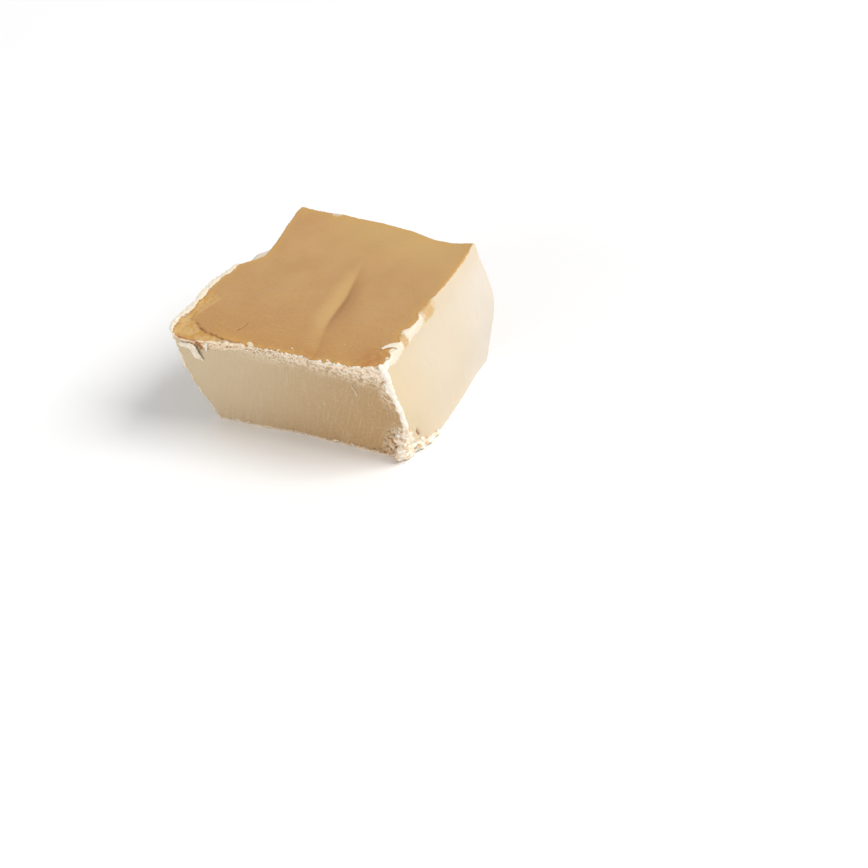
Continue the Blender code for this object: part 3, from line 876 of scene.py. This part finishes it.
# Rows of crumbs: (start, end, count, radii, stretch, spread, and for some the sink and the flatness).
LARGE_CRUMBS = [
    (FRONT_RIGHT_TOP, FRONT_RIGHT_FOOT, 22, (0.3, 0.5), 2.0, 0.1),
    ((LENGTH, 0.0, 4.2), (LENGTH, 0.0, 0.9), 9, (0.55, 0.95), 1.2, 0.6),
    (FRONT_RIGHT_FOOT, (LENGTH, 7.5, 0.6), 9, (0.35, 0.65), 1.3, 0.3),
    (RIGHT_TOP_START, RIGHT_TOP_END, 18, (0.3, 0.55), 1.8, 0.2, 0.3, 0.5),
    ((8.0, 0.0, THICKNESS), FRONT_RIGHT_TOP, 17, (0.2, 0.36), 2.2, 0.12, 0.18),
    (FRONT_LEFT_FOOT, FRONT_RIGHT_FOOT, 13, (0.2, 0.34), 1.6, 0.1),
    (FRONT_LEFT_TOP, BAY_TOP, 14, (0.28, 0.45), 2.4, 0.1, 0.1),
]
SMALL_CRUMBS = [
    ((LENGTH - 0.2, 0.1, 5.2), (LENGTH - 0.3, 0.2, 0.3), 60, (0.15, 0.42), 1.4, 0.8),
    (FRONT_RIGHT_FOOT, (LENGTH, 9.0, 0.4), 45, (0.12, 0.3), 1.5, 0.35),
    ((13.0, 0.0, THICKNESS - 0.3), FRONT_RIGHT_TOP, 80, (0.1, 0.2), 2.6, 0.16, 0.12),
    ((5.8, 0.0, THICKNESS - 1.0), (18.0, 0.0, THICKNESS - 0.9), 40, (0.1, 0.2), 3.0, 0.25),
    (FRONT_LEFT_FOOT, FRONT_RIGHT_FOOT, 70, (0.08, 0.17), 1.8, 0.15),
]
# The crumbs that stand out in the photograph: (from left, from front, height, radius).
NAMED_CRUMBS = [
    (14.1, 0.3, THICKNESS, 0.4), (19.1, 0.1, THICKNESS, 0.34), (21.3, 0.9, THICKNESS, 0.2),
    (26.6, 0.0, 20.7, 0.3), (27.8, 0.2, THICKNESS, 0.3), (24.5, 0.0, 20.2, 0.25), (28.2, 0.0, 20.6, 0.25),
    (13.7, 0.0, 19.3, 0.3), (14.4, 0.0, 19.0, 0.25), (31.7, 0.0, 19.5, 0.35), (33.1, 0.0, 19.3, 0.4),
    (36.2, 0.0, 7.6, 0.45), (35.8, 0.0, 5.8, 0.45), (36.2, 0.0, 4.4, 0.5), (36.2, 0.0, 3.0, 0.6),
    (36.5, 0.0, 1.2, 0.8), (LENGTH, 0.6, 0.8, 0.85), (LENGTH, 1.7, 1.0, 0.7), (LENGTH, 2.3, 2.0, 0.6),
    (LENGTH, 3.1, 2.0, 0.4), (LENGTH, 4.3, 2.0, 0.55), (LENGTH, 5.8, 1.2, 0.55), (LENGTH, 7.6, 0.6, 0.45),
    (LENGTH, 8.8, 0.4, 0.35), (LENGTH, 3.6, 1.3, 0.75), (LENGTH, 5.0, 1.0, 0.65), (LENGTH, 6.7, 0.8, 0.5),
    (36.6, 0.0, 2.2, 0.75), (5.1, 0.0, 0.4, 0.22), (9.2, 0.0, 0.5, 0.22),
]
CORNER_LUMPS = 60


def rows_of_crumbs(heap, rows, draw):
    """Crumbs along each of the lines."""
    for row in rows:
        heap.crumbs_along(draw, *row)


def named_crumbs(heap, draw):
    """The crumbs that stand out in the photograph."""
    for *place, radius in NAMED_CRUMBS:
        reach = [radius * draw.uniform(1.0, 1.4), radius * draw.uniform(0.8, 1.1), radius]
        heap.crumb(on_block(*place), (1.0, 0.0, 0.0), reach, draw)


def corner_crumbs(heap, draw):
    """A crumbled patch on the front face, round its right foot corner."""
    for _ in range(CORNER_LUMPS):
        centre = on_block(LENGTH - 3.8 * draw.random() ** 1.3, 0.0, 0.3 + 6.5 * draw.random() ** 1.2)
        centre[1] += 0.1
        heap.crumb(centre, (0.5, 0.0, 1.0), several(draw, 0.2, 0.45, 3), draw)


heap = Heap()
rows_of_crumbs(heap, LARGE_CRUMBS, random.Random(SEED))
named_crumbs(heap, random.Random(SEED + 1))
small_draw = random.Random(SEED + 2)
rows_of_crumbs(heap, SMALL_CRUMBS, small_draw)
corner_crumbs(heap, small_draw)
print("there are", len(heap.points), "crumbs")

# %% [markdown]
# Burrs and shavings are long and smooth, so lumps won't do. Each is a ribbon along a short curve.
# The burr on the front right edge is the brightest line of the piece: the blade pushed it up as
# it left the cut, so it stands over the corner and leans to the right. Scalloped ones lie along
# the left rim. One shaving curls out below the front left corner, a short one hangs beside it,
# and a pointed flake lies on the skin at the front right.

# %% Burrs and shavings
# The front right burr: (height on the edge, out to the right, up, width).
RIDGE = [
    (20.8, -0.5, 0.5, 0.6), (20.7, 0.05, 0.62, 0.95), (20.2, 0.45, 0.42, 1.05), (19.4, 0.62, 0.2, 1.0),
    (18.0, 0.65, 0.0, 0.9), (16.6, 0.5, 0.0, 0.85), (15.2, 0.33, 0.0, 0.8), (13.2, 0.18, 0.0, 0.72),
    (11.0, 0.12, 0.0, 0.75), (9.2, 0.1, 0.0, 0.8), (7.4, 0.1, 0.0, 1.0), (5.5, 0.05, 0.0, 1.2),
]
RIDGE_STEPS = 44
# The left rim's scallops: (first and last distance from the front, greatest width).
SCALLOPS = [(0.4, 3.6, 1.0), (3.0, 7.2, 1.45), (7.0, 10.8, 1.3), (9.4, 13.6, 1.35), (13.2, 17.0, 1.2)]
SCALLOP_STEPS = 16
# Ribbons on the front face: (from the left, height, out to the front, width).
CURL = [
    (0.9, 18.2, 0.1, 0.8), (1.7, 18.4, 0.3, 1.2), (2.6, 18.6, 0.45, 1.3), (3.5, 18.9, 0.6, 1.4),
    (4.1, 18.5, 0.65, 1.45), (4.05, 17.6, 0.6, 1.5), (3.9, 16.7, 0.55, 1.4), (4.1, 15.9, 0.4, 1.2),
    (4.6, 15.2, 0.2, 0.5),
]
HANGING_SHRED = [
    (6.9, 20.3, 0.2, 0.5), (6.7, 19.6, 0.35, 0.7), (6.5, 19.0, 0.35, 0.6), (6.3, 18.4, 0.25, 0.5),
    (6.1, 17.9, 0.15, 0.2),
]
STREAK = [
    (30.4, 15.9, 0.05, 0.12), (30.5, 15.2, 0.08, 0.28), (30.6, 14.5, 0.08, 0.3), (30.55, 13.7, 0.06, 0.3),
    (30.5, 12.8, 0.04, 0.12),
]
FLAKE_FROM_FRONT = 5.5
FLAKE_STEPS = 12


def finer(rows, count):
    """A list of places with its columns filled in smoothly to more rows."""
    rows = np.array(rows, float)
    share = np.linspace(0.0, len(rows) - 1.0, count)
    columns = [np.interp(share, np.arange(len(rows)), column) for column in rows.T]
    filled = np.stack(columns, axis=1)
    for _ in range(2):
        filled[1:-1] = 0.25 * filled[:-2] + 0.5 * filled[1:-1] + 0.25 * filled[2:]
    return filled.T


def add_burrs(heap):
    """The ribbons that stand on the edges."""
    draw = random.Random(SEED + 3)
    height, right, up, width = finer(RIDGE, RIDGE_STEPS)
    still = np.zeros(RIDGE_STEPS)
    path = block_points(np.stack([still + LENGTH, still, height], axis=1))
    path += np.stack([right + 0.05, still, up], axis=1) + shaken(draw, 0.1, RIDGE_STEPS)
    width = width * several(draw, 0.8, 1.15, RIDGE_STEPS)
    heap.strand(path, width, width * 0.75, flat=(0.6, -0.6, 0.5), sides=10)
    share = np.linspace(0.0, 1.0, SCALLOP_STEPS)
    swell = np.sin(math.pi * np.clip(share * 0.92 + 0.05, 0.0, 1.0)) ** 0.6
    for first, last, widest in SCALLOPS:
        inset = 0.42 * widest * swell - 0.12
        place = [inset, first + (last - first) * share, np.full(SCALLOP_STEPS, THICKNESS)]
        path = block_points(np.stack(place, axis=1)) + shaken(draw, 0.1, SCALLOP_STEPS)
        path[:, 2] -= 0.02
        width = widest * (0.25 + 0.75 * swell) * several(draw, 0.75, 1.15, SCALLOP_STEPS)
        heap.strand(path, width, 0.2 + 0.3 * swell, sides=10)


def add_front_ribbon(heap, rows, thickness, count, fibres=(0.0,)):
    """A ribbon on the front face, of one fibre or of several that meet where it is narrow."""
    draw = random.Random(SEED + 5)
    from_left, height, out, width = finer(rows, count)
    for fibre in fibres:
        side = fibre * np.clip(width / width.max() * 1.4 - 0.4, 0.0, 1.0)
        still = np.zeros(count)
        path = block_points(np.stack([from_left + side, still, height + side], axis=1))
        path += np.stack([still, -out, 0.2 * out], axis=1)
        path += shaken(draw, 0.05, count) * len(fibres) ** 0.5
        heap.strand(path, width / len(fibres) ** 0.7, np.full(count, thickness), flat=(0.0, -1.0, 0.3))


def add_flake(heap):
    """The pointed flake on the skin at the front right."""
    root = on_block(LENGTH - 0.1, FLAKE_FROM_FRONT, THICKNESS)
    share = np.linspace(0.0, 1.0, FLAKE_STEPS)
    lift = 0.15 + 0.12 * np.sin(math.pi * share)
    path = root + np.stack([0.3 - 2.3 * share, -0.3 * share - 1.3 * share**2, lift], axis=1)
    heap.strand(path, 1.5 * (1.0 - 0.85 * share) ** 0.7, 0.6 - 0.25 * share)


add_burrs(heap)
add_front_ribbon(heap, CURL, 0.34, 24, fibres=(-0.42, 0.0, 0.42))
add_front_ribbon(heap, HANGING_SHRED, 0.26, 10)
add_front_ribbon(heap, STREAK, 0.18, 10)
add_flake(heap)
print("with the shavings there are", len(heap.points), "shapes")

# %% [markdown]
# The remesh works best in large units, so it runs while the crumbs are still in millimetres.
# A little noise afterwards roughens what the voxels smoothed.

# %% Melt the crumbs together
CRUMB_VOXEL = 0.1
CRUMB_ROUGHNESS = 0.055
# About where the front face lies at its right end, from the middle.
FRONT_PLANE = -16.2


def melt(heap, name):
    """One crumbly skin round all the shapes of a heap."""
    mesh = bpy.data.meshes.new(name + "_loose")
    mesh.from_pydata(np.concatenate(heap.points).tolist(), [], heap.faces)
    loose = put_in_scene(name + "_loose", mesh)
    remesh = loose.modifiers.new("melt", "REMESH")
    remesh.mode = "VOXEL"
    remesh.voxel_size = CRUMB_VOXEL
    graph = bpy.context.evaluated_depsgraph_get()
    melted = bpy.data.meshes.new_from_object(loose.evaluated_get(graph))
    bpy.data.objects.remove(loose)
    points = at_vertices(melted, "co")
    rough = 0.6 * ripple(points, 0.55, 41.0) + 0.4 * ripple(points, 0.25, 43.0)
    points = points + at_vertices(melted, "normal") * CRUMB_ROUGHNESS * rough[:, None]
    points[:, 2] = np.maximum(points[:, 2], 0.02)
    faces = [list(face.vertices) for face in melted.polygons]
    bpy.data.meshes.remove(melted)
    made = mesh_object(name, points, faces)
    store_crumb_tones(made, points)
    store_cavities(made, 8, 0.08)
    return made


def store_crumb_tones(made, points):
    """Where the crumbs are white, creamy, or tan, which follows the edge that they cling to."""
    x, y, z = points.T
    from_front = y - FRONT_PLANE
    low_down = smooth(9.0, 7.0, z)
    at_right = smooth(-9.0, 4.0, x) * (0.25 + 0.4 * smooth(18.8, 20.0, z))
    at_right = np.maximum(at_right, smooth(16.0, 18.6, x))
    dragged = np.maximum(hump(from_front, 14.5, 3.6), hump(from_front, 7.6, 1.5))
    store(
        made,
        white=np.maximum(at_right, 0.6 * smooth(-11.5, -13.0, x)),
        smeared=dragged * smooth(17.0, 18.2, x) * smooth(16.5, 18.0, z),
        burr=smooth(1.5, 3.5, from_front) * smooth(15.0, 17.0, z),
        foot=smooth(18.6, 17.4, x) * smooth(10.0, 14.0, x) * low_down,
        column=smooth(16.5, 17.5, x) * low_down,
    )


crumbs = melt(heap, "edge_crumbs")
print("the crumbs have", len(crumbs.data.polygons), "faces")

# %% [markdown]
# The finest crumbs are smaller than the voxels, so they stay separate lumps in one mesh. They lie
# over the torn band and thin out below it, and a few stray ones stick to the faces and the skin.

# %% Fine crumbs
def scatter_fine_crumbs():
    """The finest crumbs, as one mesh."""
    draw = random.Random(SEED + 4)
    heap = Heap()

    def stick(smallest, largest, stretch, *place):
        size = draw.uniform(smallest, largest)
        reach = [size * draw.uniform(*limits) for limits in ((1.0, stretch), (0.7, 1.1), (0.6, 1.0))]
        heading = (1.0, draw.uniform(-0.3, 0.3), draw.uniform(-0.3, 0.3))
        heap.crumb(on_block(*place), heading, reach, draw)

    # Over the torn band.
    for _ in range(190):
        from_left = draw.uniform(5.8, LENGTH)
        band = float(read_off(TORN_BAND, from_left))
        stick(0.06, 0.12, 2.4, from_left, 0.0, THICKNESS - 0.2 - 1.1 * band * draw.random() ** 1.2)
    # On the front below it, fewer towards the left and downwards.
    for _ in range(110):
        from_left = LENGTH * (1.0 - draw.random() ** 1.6)
        stick(0.04, 0.08, 1.6, from_left, 0.0, THICKNESS - 1.5 - 4.0 * draw.random() ** 1.5)
    # Beside the ridge.
    for _ in range(70):
        stick(0.05, 0.12, 1.6, LENGTH - 3.0 * draw.random() ** 1.5, 0.0, draw.uniform(0.5, 20.0))
    # Strays on the skin.
    for _ in range(14):
        stick(0.04, 0.07, 1.5, draw.uniform(1.0, 36.0), 0.1 + 8.0 * draw.random() ** 2, THICKNESS)
    # Under the burr on the right.
    for _ in range(50):
        stick(0.05, 0.1, 1.6, LENGTH, draw.uniform(0.5, 16.0), 20.0 - 1.5 * draw.random() ** 2)
    # Along the top edges and the feet of the back and left faces.
    for _ in range(130):
        height = draw.choice((0.25, THICKNESS - 0.1)) + draw.uniform(-0.1, 0.1)
        stick(0.05, 0.14, 1.8, draw.uniform(0.5, 36.5), DEPTH, height)
        stick(0.05, 0.14, 1.8, 0.0, draw.uniform(1.0, 30.5), height)
    points = np.concatenate(heap.points)
    made = mesh_object("fine_crumbs", points, heap.faces)
    store(made, white=0.6 * smooth(-15.0, -13.5, points[:, 1]))
    return made


fine_crumbs = scatter_fine_crumbs()
print("the fine crumbs have", len(fine_crumbs.data.polygons), "faces")

# %% [markdown]
# ## Shader maths in plain Python
#
# A finish is a sum of many small effects, and long chains of Math nodes are hard to read. This
# class wraps a node's socket, so that `depth * 2 + grain` adds the two Math nodes by itself. Its
# one method `add` makes every other node.


# %% Sockets that can be added up
class Wire:
    """The output of a node. Python's signs on it add Math nodes, and add() any other node."""

    def __init__(self, tree, socket=None):
        self.tree, self.socket = tree, socket

    def add(self, kind, settings=None, sockets=None, out=0):
        """A new node: its settings first, then the values or wires of its sockets."""
        node = self.tree.nodes.new(kind)
        for name, value in (settings or {}).items():
            setattr(node, name, value)
        for name, value in (sockets or {}).items():
            if isinstance(value, Wire):
                self.tree.links.new(value.socket, node.inputs[name])
            else:
                node.inputs[name].default_value = value
        return Wire(self.tree, node.outputs[out])

    def maths(self, operation, first, second=0.0):
        return self.add("ShaderNodeMath", {"operation": operation}, {0: first, 1: second})

    def __add__(self, other):
        return self.maths("ADD", self, other)

    def __sub__(self, other):
        return self.maths("SUBTRACT", self, other)

    def __mul__(self, other):
        return self.maths("MULTIPLY", self, other)

    def __rsub__(self, other):
        return self.maths("SUBTRACT", other, self)

    __radd__ = __add__
    __rmul__ = __mul__

    def ramp(self, start, end):
        """0 up to start and 1 from end on, with an easy curve between."""
        spread = {"interpolation_type": "SMOOTHSTEP"}
        return self.add("ShaderNodeMapRange", spread, {"Value": self, "From Min": start, "From Max": end})

    def blend(self, first, second):
        """The first colour where this is 0, and the second where it is 1."""
        return self.add("ShaderNodeMix", {"data_type": "RGBA"}, {0: self, 6: first, 7: second}, out=2)


def coats(base, *layers):
    """A base colour under others, each of which covers it where its share is 1."""
    for share, colour in layers:
        base = share.blend(base, colour)
    return base


def paint(red, green, blue):
    """A colour given as 0 to 255, as on a screen, turned into the linear light that shaders use."""
    linear = [value / 12.92 if value <= 0.04045 else ((value + 0.055) / 1.055) ** 2.4
              for value in (red / 255, green / 255, blue / 255)]
    return (*linear, 1.0)


print("mid grey on a screen is", round(paint(128, 128, 128)[0], 3), "in linear light")

# %% [markdown]
# ## Noise at a real scale
#
# Noise on food only looks right at the right size. So each noise is asked for by the size of its
# grains in millimetres, in the piece's own coordinates.


# %% A finish to build on
class Finish:
    """A new material with a Principled shader, and the helpers that its recipe needs."""

    def __init__(self, name, roughness, subsurface, radius):
        self.material = bpy.data.materials.new(name)
        self.material.use_nodes = True
        tree = self.material.node_tree
        self.shader = tree.nodes["Principled BSDF"]
        self.shader.inputs["Roughness"].default_value = roughness
        self.shader.inputs["Subsurface Weight"].default_value = subsurface
        self.shader.inputs["Subsurface Radius"].default_value = radius
        self.shader.inputs["Subsurface Scale"].default_value = MM
        self.wire = Wire(tree)
        self.place = self.wire.add("ShaderNodeTexCoord", out="Object")

    def stored(self, name):
        """A number that the mesh keeps on each vertex."""
        return self.wire.add("ShaderNodeAttribute", {"attribute_name": name}, out="Fac")

    def grains(self, size, detail=2.0, stretch=(1.0, 1.0, 1.0)):
        """Noise from 0 to 1 with grains of about this size in millimetres."""
        scale = tuple(1.0 / (size * MM * value) for value in stretch)
        scaled = self.wire.add("ShaderNodeMapping", None, {"Vector": self.place, "Scale": scale})
        sockets = {"Vector": scaled, "Scale": 1.0, "Detail": detail, "Roughness": 0.55}
        return self.wire.add("ShaderNodeTexNoise", None, sockets, out="Fac")

    def strokes(self, size, stretch, detail=3.0):
        """Noise drawn out along the blade's strokes, this many millimetres wide."""
        across, up = self.stored("stroke") * (1.0 / size), self.stored("rise") * (1.0 / (size * stretch))
        place = self.wire.add("ShaderNodeCombineXYZ", None, {"X": across, "Z": up})
        sockets = {"Vector": place, "Scale": 1.0, "Detail": detail, "Roughness": 0.6}
        return self.wire.add("ShaderNodeTexNoise", None, sockets, out="Fac")

    def feed(self, socket, wire):
        self.wire.tree.links.new(wire.socket, self.shader.inputs[socket])

    def bump(self, height, depth):
        """Fine relief: the height is from 0 to 1, and the depth is in millimetres."""
        sockets = {"Height": height, "Distance": depth * MM, "Strength": 1.0}
        self.feed("Normal", self.wire.add("ShaderNodeBump", None, sockets, out="Normal"))


print("a finish offers", [name for name in vars(Finish) if not name.startswith("_")])

# %% [markdown]
# ## The fudge's finish
#
# One recipe covers the whole block, because the skin and the cut sides meet along an irregular
# line. The stored distance from the border, pushed about by two sizes of noise, says which is
# which. The skin is a satin golden brown, richer and more golden within a millimetre of its
# border, where it is thin. The cut sugar is pale, and frosted nearly white where it crumbled.

# %% Colours
SKIN = paint(190, 147, 95)
SKIN_LIGHT = paint(195, 153, 101)
SKIN_FRONT = paint(189, 142, 86)
SKIN_BACK = paint(200, 162, 104)
SKIN_GOLD = paint(203, 158, 86)
SKIN_PAINTED_LIGHT = paint(202, 165, 108)
SKIN_SPECKS_AND_SHADE = paint(168, 117, 68)
STRIP_GOLD = paint(204, 164, 100)
STRIP_PALE = paint(213, 177, 119)
STRIP_ORANGE = paint(200, 146, 68)
SCORCHED_AND_SHADED = paint(178, 114, 52)
DARK_LINE_AND_SHADE = paint(148, 94, 44)
LIP_BROWN = paint(184, 120, 62)
SMEAR = paint(206, 172, 121)
SUGAR = paint(217, 202, 178)
SUGAR_PAINTED_LIGHT = paint(220, 209, 194)
SUGAR_NEAR_RIDGE = paint(216, 196, 162)
SUGAR_PAINTED_SHADE = paint(204, 184, 151)
SHADE_AND_STREAK_TAN = paint(178, 144, 98)
FRONT_FROST = paint(246, 228, 203)
TORN_FROST = paint(246, 223, 194)
MOTTLE_FROST = paint(250, 234, 212)
BURR_CREAM = paint(236, 223, 202)
FOOT_TAN = paint(190, 156, 116)
COLUMN_TAN = paint(212, 174, 122)
CRUMB_TAN = paint(208, 180, 141)
CRUMB_CREAM = paint(238, 216, 182)
WHITE_FROST = paint(247, 242, 232)
MOTTLE_BROWN = paint(160, 112, 76)
CAVITY_SHADE_TAN = paint(184, 138, 92)
CAVITY_SHADE_CREAM = paint(220, 192, 152)


def skin_colour(finish, border):
    """Golden brown, with painted light and shade at the crease, a golden border, and scorched patches, which
    carry the flake's painted shadow at the front right.
    """
    grains, stored = finish.grains, finish.stored
    from_front = stored("from_front")
    near_front = 1.0 - from_front.ramp(0.25, 0.6)
    streaks = grains(0.5, 3.0, stretch=(7.0, 1.0, 1.0))
    specks = grains(0.4, 3.0)
    at_border = 1.0 - border.ramp(0.0, 0.35)
    golden = grains(0.5, 3.0).ramp(0.4, 0.65).blend(STRIP_GOLD, STRIP_PALE)
    golden = (grains(1.3, 2.0).ramp(0.5, 0.66) * 0.8).blend(golden, STRIP_ORANGE)
    return coats(
        SKIN,
        (grains(5.0, 3.0).ramp(0.35, 0.7), SKIN_LIGHT),
        (1.0 - from_front.ramp(0.0, 0.42), SKIN_FRONT),
        (from_front.ramp(0.6, 1.0) * stored("from_left").ramp(0.05, 0.4), SKIN_BACK),
        (streaks.ramp(0.5, 0.75) * (0.15 + near_front * 0.3), SKIN_GOLD),
        (specks.ramp(0.52, 0.7) * (0.3 + near_front * 0.35), SKIN_LIGHT),
        (specks.ramp(0.46, 0.3) * (0.15 + near_front * 0.15), SKIN_SPECKS_AND_SHADE),
        # Painted light on the crease's left flank, and painted shade along its dark edge.
        (stored("pale_band") * 0.7, SKIN_PAINTED_LIGHT),
        (stored("dark_edge") * 0.75, SKIN_SPECKS_AND_SHADE),
        ((1.0 - border.ramp(0.1, 1.7)) * 0.6, SKIN_GOLD),
        (stored("strip") * 0.9, golden),
        # Browned skin, with the flake's shadow painted on at the front right.
        (stored("toasted") * grains(0.9, 3.0).ramp(0.3, 0.6) * 0.65, SCORCHED_AND_SHADED),
        (at_border * grains(1.6, 2.0).ramp(0.42, 0.62) * 0.7, SCORCHED_AND_SHADED),
    )


def cut_colour(finish):
    """Pale sugar: creamy on the sides, with painted shade that makes the faces turned from the key light
    darker and the front tan, frosted where it crumbled.
    """
    grains, stored = finish.grains, finish.stored
    front, from_front, from_left = stored("front"), stored("from_front"), stored("from_left")
    fine, broad = finish.strokes(0.28, 18.0), finish.strokes(0.8, 8.0)
    # Painted shade on the front face, deeper towards the right and the foot.
    shade = (from_left * 0.9 - stored("height") * 0.35 + 0.2).ramp(0.0, 0.95)
    at_right = from_left.ramp(0.85, 1.0)
    cut_side = coats(
        SUGAR_NEAR_RIDGE,
        (from_front.ramp(0.0, 0.45), SUGAR),
        # Painted light: whiter where the key light falls on the back of the right face.
        (from_front.ramp(0.5, 1.0) * at_right, SUGAR_PAINTED_LIGHT),
        # Painted shade on the faces turned from the key light.
        ((1.0 - at_right) * 0.6, SUGAR_PAINTED_SHADE),
        (stored("height").ramp(0.75, 1.0) * 0.5, SUGAR_NEAR_RIDGE),
        (fine.ramp(0.45, 0.8) * (0.2 - at_right * 0.1), SHADE_AND_STREAK_TAN),
    )
    foot = 1.0 - stored("rise").ramp(0.5, 4.0)
    streaked = front * (0.2 + shade * 0.6 + foot * 0.4)
    speckled, mottles = grains(0.3, 4.0), grains(0.55, 4.0)
    frost, mottled, smeared = stored("frost"), stored("mottled"), stored("smeared")
    frosted = (frost * 1.25 + grains(0.35, 4.0) - 1.05).ramp(0.0, 0.35)
    side_frost = from_front.ramp(0.03, 0.12).blend(WHITE_FROST, BURR_CREAM)
    return coats(
        cut_side,
        # The front face's painted shade, from lighter to deeper tan.
        (front, shade.blend(SUGAR_PAINTED_SHADE, SHADE_AND_STREAK_TAN)),
        (fine.ramp(0.5, 0.75) * streaked * 0.55, SKIN_FRONT),
        (fine.ramp(0.48, 0.28) * streaked * 0.22, FRONT_FROST),
        (broad.ramp(0.5, 0.75) * streaked * 0.25, SKIN_FRONT),
        (speckled.ramp(0.52, 0.7) * streaked * 0.35, SKIN_FRONT),
        (speckled.ramp(0.46, 0.3) * streaked * 0.3, FRONT_FROST),
        (frosted * 0.9, front.blend(side_frost, TORN_FROST)),
        (mottles.ramp(0.39, 0.57) * mottled * 0.8, MOTTLE_FROST),
        (mottles.ramp(0.44, 0.32) * mottled * 0.35, MOTTLE_BROWN),
        # Painted shade: warm tan in the hollows of the frosted places.
        (stored("cavity") * frost.ramp(0.3, 0.8) * (0.15 + front * 0.45), CAVITY_SHADE_TAN),
        ((grains(0.7, 4.0) + smeared * 0.8 - 0.4).ramp(0.3, 0.75) * smeared.ramp(0.0, 0.6), SMEAR),
    )


def make_fudge_finish():
    """The finish of the whole block."""
    finish = Finish("fudge", roughness=0.5, subsurface=0.15, radius=(1.0, 0.65, 0.4))
    grains, stored = finish.grains, finish.stored
    ragged = (grains(0.8, 3.0) - 0.5) * 0.7 + (grains(0.25, 2.0) - 0.5) * 0.35
    border = stored("skin_depth") + ragged
    softness = stored("from_front") * 0.22 + 0.04
    skin = border.ramp(0.0 - softness, softness)
    finish.feed("Base Color", coats(
        cut_colour(finish),
        (skin, skin_colour(finish, border)),
        (stored("under_lip").ramp(0.2, 0.7) * grains(0.5, 2.0).ramp(0.25, 0.5), LIP_BROWN),
        # Dark brown lines and pits, with painted shade in the crack and the hollow's painted shadow.
        (stored("lines").ramp(0.3, 0.85) * 0.8 + stored("pits").ramp(0.4, 0.9) * 0.75, DARK_LINE_AND_SHADE),
    ))
    finish.feed("Roughness", 0.62 - skin * 0.2 + grains(0.6) * 0.08)
    blade = finish.strokes(0.3, 9.0) * stored("front") * 0.8
    sugary = grains(0.16, 3.0) * 0.35 + grains(0.5, 2.0) * 0.3 + blade
    satin = grains(0.35, 3.0) * 0.2 + grains(2.2, 2.0) * 0.3
    finish.bump(sugary * (1.0 - skin) + satin * skin + skin * 0.2, 0.1)
    return finish.material


def make_crumb_finish():
    """The finish of the loose crumbs: the same sugar, frosted, with warm shade painted in the gaps."""
    finish = Finish("crumb", roughness=0.6, subsurface=0.35, radius=(1.2, 0.9, 0.65))
    grains, stored = finish.grains, finish.stored
    patches, white = grains(0.5, 3.0).ramp(0.36, 0.6), stored("white")
    finish.feed("Base Color", coats(
        patches.blend(CRUMB_TAN, CRUMB_CREAM),
        (white, patches.blend(FRONT_FROST, WHITE_FROST)),
        # Painted shade in the hollows between crumbs, tan, and cream among the white ones.
        (stored("cavity") * (0.7 - white * 0.5), white.blend(CAVITY_SHADE_TAN, CAVITY_SHADE_CREAM)),
        (stored("burr"), patches.blend(BURR_CREAM, FRONT_FROST)),
        (grains(0.8, 3.0).ramp(0.46, 0.62) * stored("column") * 0.65, COLUMN_TAN),
        (stored("foot") * (1.0 - patches * 0.3), FOOT_TAN),
        (stored("smeared") * grains(0.6, 4.0).ramp(0.3, 0.65) * 0.9, SMEAR),
    ))
    finish.bump(grains(0.14, 3.0), 0.04)
    return finish.material


block.data.materials.append(make_fudge_finish())
crumb_finish = make_crumb_finish()
crumbs.data.materials.append(crumb_finish)
fine_crumbs.data.materials.append(crumb_finish)
print("finishes:", [material.name for material in bpy.data.materials])

# %% [markdown]
# ## Floor and light
#
# The piece stands on a plain white floor. Most of the light comes softly from the right and a
# little from behind, so the right face is the brightest and the front one lies in shade. The
# white floor and a weak all-round light fill that shade.

# %% Studio
FLOOR_SIZE = 3.0
PAPER_WHITE = (0.97, 0.97, 0.97, 1.0)
SKY_STRENGTH = 0.48
KEY_DIRECTION = Vector((0.66, 0.18, 0.73))
FILL_DIRECTION = Vector((-0.45, -0.85, 0.3))
LIGHT_DISTANCE = 2.0


def add_light(name, direction, size, power):
    """A square soft light that shines at the piece from a direction."""
    lamp = bpy.data.lights.new(name, "AREA")
    lamp.size, lamp.energy = size, power
    light = put_in_scene(name, lamp)
    light.location = direction.normalized() * LIGHT_DISTANCE
    light.rotation_mode = "QUATERNION"
    light.rotation_quaternion = direction.to_track_quat("Z", "Y")


def add_floor():
    """A large pale floor, which isn't part of the object."""
    half = FLOOR_SIZE / 2
    corners = [(-half, -half, 0.0), (half, -half, 0.0), (half, half, 0.0), (-half, half, 0.0)]
    mesh = bpy.data.meshes.new("floor")
    mesh.from_pydata(corners, [], [(0, 1, 2, 3)])
    paper = bpy.data.materials.new("white_paper")
    paper.use_nodes = True
    shader = paper.node_tree.nodes["Principled BSDF"]
    shader.inputs["Base Color"].default_value = PAPER_WHITE
    shader.inputs["Roughness"].default_value = 0.9
    mesh.materials.append(paper)
    floor = put_in_scene("floor", mesh)


def add_sky():
    """A weak white light from all round."""
    world = bpy.data.worlds.new("studio")
    world.use_nodes = True
    background = world.node_tree.nodes["Background"]
    background.inputs["Color"].default_value = (1.0, 1.0, 1.0, 1.0)
    background.inputs["Strength"].default_value = SKY_STRENGTH
    bpy.context.scene.world = world


add_floor()
add_sky()
add_light("key", KEY_DIRECTION, 1.0, 31.0)
add_light("fill", FILL_DIRECTION, 1.2, 11.0)
bpy.context.scene.view_settings.view_transform = "Standard"
print("the key light comes from", [round(value, 2) for value in KEY_DIRECTION])

# %% [markdown]
# ## Join the frame
#
# All three pieces belong to the model's one body. The block stands for the solid, which is then
# hidden.

# %% Ride and replace
for piece in (block, crumbs, fine_crumbs):
    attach(piece, "root")
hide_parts("fudge_block")

bpy.context.view_layer.update()
